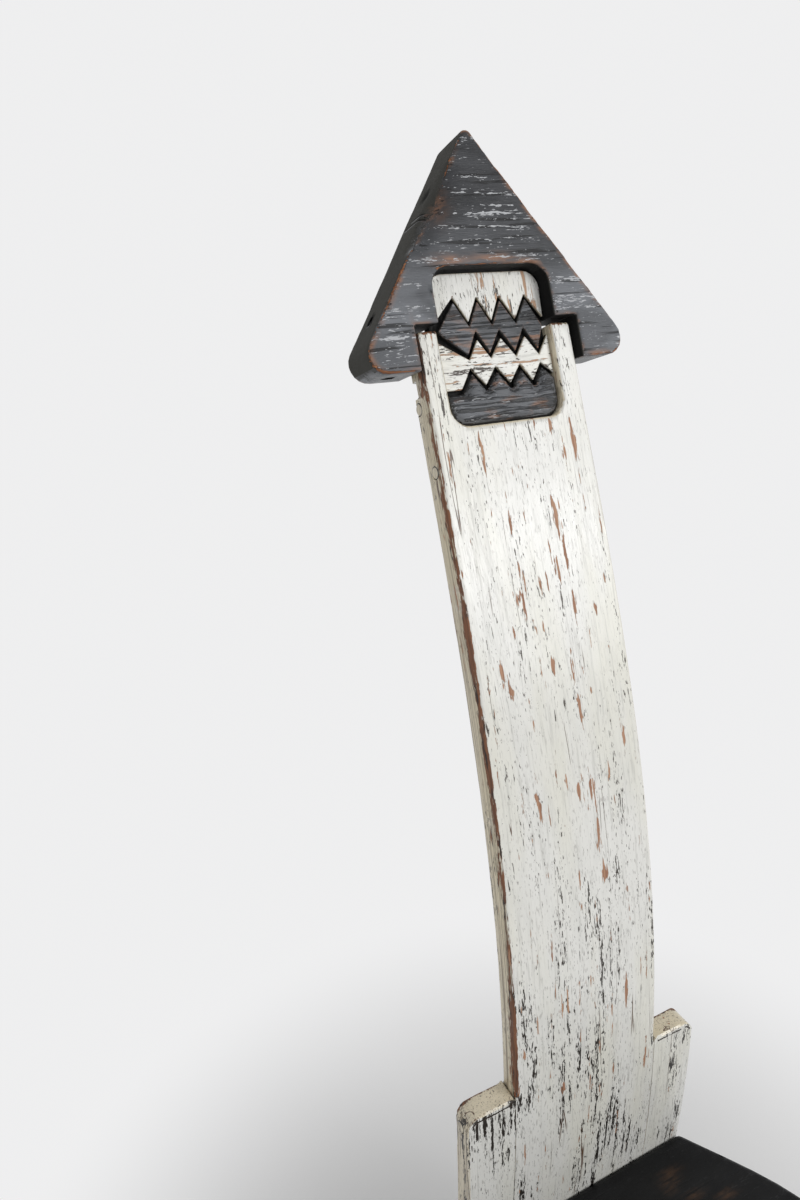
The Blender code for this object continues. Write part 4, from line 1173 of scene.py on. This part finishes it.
def makePegTree():
    # a peg grows along each line of four points, narrower at its two ends
    tree, given, result = newGrowth("turnedPegs", {"Float": "Radius, Chamfer", "Int": "Sides"})
    axis = addGeo(tree, "MeshToCurve", Mesh=given["Geometry"])
    ring = addGeo(tree, "CurvePrimitiveCircle", Resolution=given["Sides"], Radius=1.0)
    atEnd = addGeo(tree, "CurveEndpointSelection", Start_Size=1, End_Size=1).outputs[0]
    narrow = times(tree, atEnd, given["Chamfer"])
    width = minus(tree, given["Radius"], narrow)
    body = addGeo(tree, "CurveToMesh", Curve=axis.outputs[0], Profile_Curve=ring.outputs[0], Scale=width,
                  Fill_Caps=True)
    endGrowth(tree, body.outputs[0], given["Material"], result)
    return tree


def makeScrewTree():
    # a slotted countersunk wood screw stands at each point, drawn out to that point's length
    tree, given, result = newGrowth("woodScrews", {
        "Float": "Head Radius, Head Depth, Slot Width, Shank Radius, Length, Thread Pitch, Thread Height"})
    cone = addGeo(tree, "MeshCone", Vertices=24, Radius_Top=given["Shank Radius"],
                  Radius_Bottom=given["Head Radius"], Depth=given["Head Depth"])
    slotLength = times(tree, given["Head Radius"], 3.0)
    slotSize = addNode(tree, "CombineXYZ", X=slotLength, Y=given["Slot Width"], Z=given["Head Depth"])
    slot = addGeo(tree, "MeshCube", Size=slotSize.outputs[0])
    head = addGeo(tree, "MeshBoolean", {"operation": "DIFFERENCE"})
    plug(tree, head.inputs[0], cone.outputs["Mesh"])
    plug(tree, head.inputs[1], slot.outputs["Mesh"])

    def upAxis(height):
        return addNode(tree, "CombineXYZ", Z=height).outputs[0]

    taper = 0.38  # the plain share of the shank
    line = addGeo(tree, "CurvePrimitiveLine", Start=upAxis(times(tree, given["Head Depth"], 0.8)),
                  End=upAxis(given["Length"]))
    rings = addGeo(tree, "ResampleCurve", Curve=line.outputs[0], Count=12)
    along = addGeo(tree, "SplineParameter").outputs["Factor"]
    wide = addNode(tree, "MapRange", Value=along, From_Min=taper, From_Max=1.0, To_Min=1.0, To_Max=0.12)
    ring = addGeo(tree, "CurvePrimitiveCircle", Resolution=12, Radius=1.0)
    shank = addGeo(tree, "CurveToMesh", Curve=rings.outputs[0], Profile_Curve=ring.outputs[0],
                   Scale=times(tree, wide.outputs[0], given["Shank Radius"]), Fill_Caps=True)
    threaded = times(tree, given["Length"], 0.93 - taper)
    turns = divide(tree, threaded, given["Thread Pitch"])
    tip = times(tree, given["Shank Radius"], 0.22)
    coil = addGeo(tree, "CurveSpiral", Resolution=12, Rotations=turns, Start_Radius=given["Shank Radius"],
                  End_Radius=tip, Height=threaded)
    edge = addGeo(tree, "CurvePrimitiveCircle", Resolution=3, Radius=given["Thread Height"])
    thread = addGeo(tree, "CurveToMesh", Curve=coil.outputs[0], Profile_Curve=edge.outputs[0],
                    Fill_Caps=True)
    raised = addGeo(tree, "Transform", Geometry=thread.outputs[0],
                    Translation=upAxis(times(tree, given["Length"], taper)))
    body = addGeo(tree, "JoinGeometry")
    for part in (shank, raised):
        tree.links.new(part.outputs[0], body.inputs[0])
    direction = addGeo(tree, "InputNamedAttribute", {"data_type": "FLOAT_VECTOR"}, Name="direction")
    length = addGeo(tree, "InputNamedAttribute", {"data_type": "FLOAT"}, Name="length")
    turn = makeNode(tree, "FunctionNodeAlignRotationToVector", {"axis": "Z"}, Vector=direction.outputs[0])
    drawn = divide(tree, length.outputs[0], given["Length"])
    stretch = addNode(tree, "CombineXYZ", X=1.0, Y=1.0, Z=drawn)
    heads = addGeo(tree, "InstanceOnPoints", Points=given["Geometry"], Instance=head.outputs["Mesh"],
                   Rotation=turn.outputs[0])
    bodies = addGeo(tree, "InstanceOnPoints", Points=given["Geometry"], Instance=body.outputs[0],
                    Rotation=turn.outputs[0], Scale=stretch.outputs[0])
    whole = addGeo(tree, "JoinGeometry")
    for part in (heads, bodies):
        tree.links.new(part.outputs[0], whole.inputs[0])
    endGrowth(tree, whole.outputs[0], given["Material"], result)
    return tree


def rodAxis(node):
    # where a round solid starts, which way it runs, its length and its radius; a screw's head is its start
    bm = takeSolid(node, same)
    points = numpy.array([vert.co[:] for vert in bm.verts])
    bm.free()
    middle = points.mean(axis=0)
    spread, axes = numpy.linalg.eigh(numpy.cov((points - middle).T))
    axis = axes[:, 2] if spread[2] - spread[1] > spread[1] - spread[0] else axes[:, 0]
    along = (points - middle) @ axis
    out = numpy.linalg.norm(points - middle - numpy.outer(along, axis), axis=1)
    atStart = out[along < along.min() + 0.001].max()
    atEnd = out[along > along.max() - 0.001].max()
    if atEnd > atStart:
        axis, along = -axis, -along
    start = Vector(middle + axis * along.min())
    return start, Vector(axis), float(along.max() - along.min()), float(out.max())


def growPiece(name, tree, base, settings, nodes, shadeOf=None):
    holder = bpy.data.objects.new(name, base)
    bpy.context.scene.collection.objects.link(holder)
    modifier = holder.modifiers.new(name, "NODES")
    modifier.node_group = tree
    for item in tree.interface.items_tree:
        if item.in_out == "INPUT" and item.name in settings:
            modifier[item.identifier] = settings[item.name]
    graph = bpy.context.evaluated_depsgraph_get()
    mesh = bpy.data.meshes.new_from_object(holder.evaluated_get(graph), depsgraph=graph)
    holder.modifiers.clear()
    holder.data = mesh
    mesh.shade_smooth()
    mesh.set_sharp_from_angle(angle=math.radians(35))
    places = [vert.co.copy() for vert in mesh.vertices]
    blank = [0.0] * len(places)
    shades = [shadeOf(place) for place in places] if shadeOf else blank
    far = [0.02] * len(places)
    writeFields(mesh, places, {"arris": far, "shade": shades, "spots": blank, "mark": blank})
    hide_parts(*nodes)
    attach(holder, "root")
    return holder


def growPegs(name, nodes, material, tree, slot, over, proud):
    points, edges, axes, chamfer = [], [], [], pegSize["chamfer"]
    for node in nodes:
        start, axis, length, radius = rodAxis(node)
        axes.append((start, axis))
        first = len(points)
        for place in (-proud, chamfer - proud, length + proud - chamfer, length + proud):
            points.append(start + axis * place)
        edges += [(first + k, first + k + 1) for k in range(3)]
    base = bpy.data.meshes.new(name)
    base.from_pydata(points, edges, [])
    settings = {"Radius": radius + over, "Chamfer": chamfer, "Sides": pegSize["sides"], "Material": material}

    def rimShade(place):
        # a dark line where each peg meets its bore
        away = min((place - start).cross(axis).length for start, axis in axes)
        return pegSize["rimShade"] if away > radius + over - chamfer / 2 else 0.0

    return growPiece(name, tree, base, settings, nodes, rimShade)


def growScrews(name, nodes, material, tree):
    base = bpy.data.meshes.new(name)
    axes = [rodAxis(node) for node in nodes]
    base.from_pydata([axis[0] for axis in axes], [], [])
    base.attributes.new("direction", "FLOAT_VECTOR", "POINT")
    base.attributes.new("length", "FLOAT", "POINT")
    base.attributes["direction"].data.foreach_set("vector", [value for axis in axes for value in axis[1]])
    base.attributes["length"].data.foreach_set("value", [axis[2] for axis in axes])
    settings = {"Head Radius": screwSize["headRadius"], "Head Depth": screwSize["headDepth"],
                "Slot Width": screwSize["slotWidth"], "Shank Radius": screwSize["shankRadius"],
                "Length": screwSize["nominalLength"], "Thread Pitch": screwSize["threadPitch"],
                "Thread Height": screwSize["threadHeight"], "Material": material}
    return growPiece(name, tree, base, settings, nodes)


def growFixings():
    names = list(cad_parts)
    wood, steel = plainWood(), wornSteel()
    plugPaint = whitePaint("wornPlugs", edgeWear=0.0, chips=0.1, specks=0.5, seed=50.0)
    pegTree = makePegTree()
    plugs = [name for name in names if "plug" in name]
    dowels = [name for name in names if "_dowel_" in name and name.endswith(("_left", "_right"))]
    screws = [name for name in names if "screw" in name]
    snug = (pegSize["over"], pegSize["proud"])
    growPegs("painted_plugs", plugs, plugPaint, pegTree, "white_paint", *snug)
    growPegs("cross_peg", ["cross_dowel"], plugPaint, pegTree, "bare_wood", *snug)
    growPegs("joint_dowels", dowels, wood, pegTree, "bare_wood", 0.0, 0.0)
    growScrews("wood_screws", screws, steel, makeScrewTree())
    for name in names:
        if name.startswith("corner_block"):
            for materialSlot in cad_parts[name].material_slots:
                materialSlot.material = wood
    print("pegs and screws grown")


def mixShaders(tree, share, first, second):
    mixed = addNode(tree, "MixShader", Fac=share)
    plug(tree, mixed.inputs[1], first.outputs[0])
    plug(tree, mixed.inputs[2], second.outputs[0])
    return mixed.outputs[0]


def makeStage():
    floor = bpy.data.meshes.new("studioFloor")
    bm = bmesh.new()
    bmesh.ops.create_circle(bm, cap_ends=True, segments=96, radius=studioLight["floorRadius"])
    bm.to_mesh(floor)
    bm.free()
    stage = bpy.data.objects.new("studioFloor", floor)
    bpy.context.scene.collection.objects.link(stage)
    stage.location.z = -0.0005
    material, tree, shader = newMaterial("paleFloor")
    shader.inputs["Base Color"].default_value = (*studioLight["floorColour"], 1)
    shader.inputs["Roughness"].default_value = 0.8
    glow = addNode(tree, "Emission", Color=(*studioLight["backdrop"], 1), Strength=1.0)
    rays = addNode(tree, "LightPath").outputs
    seen = plus(tree, rays["Is Camera Ray"], rays["Is Glossy Ray"], clamp=True)
    far = addNode(tree, "VectorMath", {"operation": "LENGTH"})
    plug(tree, far.inputs[0], objectPlace(tree))
    fade = ramp(tree, far.outputs["Value"], studioLight["fadeFrom"], studioLight["fadeTo"])
    mixed = mixShaders(tree, times(tree, seen, fade), shader, glow)
    plug(tree, tree.nodes["Material Output"].inputs["Surface"], mixed)
    floor.materials.append(material)


def makeWorld():
    world = bpy.data.worlds.new("studioWorld")
    bpy.context.scene.world = world
    world.use_nodes = True
    tree = world.node_tree
    tree.nodes.clear()
    rays = addNode(tree, "LightPath").outputs
    seen = plus(tree, rays["Is Camera Ray"], rays["Is Glossy Ray"], clamp=True)
    seen = plus(tree, seen, rays["Is Transmission Ray"], clamp=True)
    ambient = addNode(tree, "Background", Color=(1, 1, 1, 1), Strength=studioLight["ambient"])
    backdrop = addNode(tree, "Background", Color=(*studioLight["backdrop"], 1), Strength=1.0)
    addNode(tree, "OutputWorld", Surface=mixShaders(tree, seen, ambient, backdrop))


def makeLight(name, place, size, power):
    lamp = bpy.data.lights.new(name, "AREA")
    lamp.shape = "RECTANGLE"
    lamp.size, lamp.size_y = size
    lamp.energy = power
    light = bpy.data.objects.new(name, lamp)
    bpy.context.scene.collection.objects.link(light)
    light.location = place
    light.rotation_euler = (Vector(studioLight["aim"]) - Vector(place)).to_track_quat("-Z", "Y").to_euler()


def makeCamera():
    data = bpy.data.cameras.new("photoCamera")
    data.sensor_width = 36.0
    data.lens = cameraView["lens"]
    camera = bpy.data.objects.new("photoCamera", data)
    bpy.context.scene.collection.objects.link(camera)
    yaw, pitch, roll = cameraView["yaw"], cameraView["pitch"], cameraView["roll"]
    ahead = Vector((math.sin(yaw) * math.cos(pitch), math.cos(yaw) * math.cos(pitch), math.sin(pitch)))
    right = Vector((math.cos(yaw), -math.sin(yaw), 0.0))
    up = right.cross(ahead)
    turnedRight = math.cos(roll) * right + math.sin(roll) * up
    turnedUp = -math.sin(roll) * right + math.cos(roll) * up
    place = Vector(cameraView["place"])
    turn = Matrix((turnedRight, turnedUp, -ahead)).transposed().to_4x4()
    camera.matrix_world = Matrix.Translation(place) @ turn
    bpy.context.scene.camera = camera


makeCamera()
makeStage()
makeWorld()
for lightName, lightLook in studioLight["lights"].items():
    makeLight(lightName, **lightLook)
makePieces()
growFixings()
bpy.context.scene.view_settings.view_transform = "Standard"
print("scene dressed")
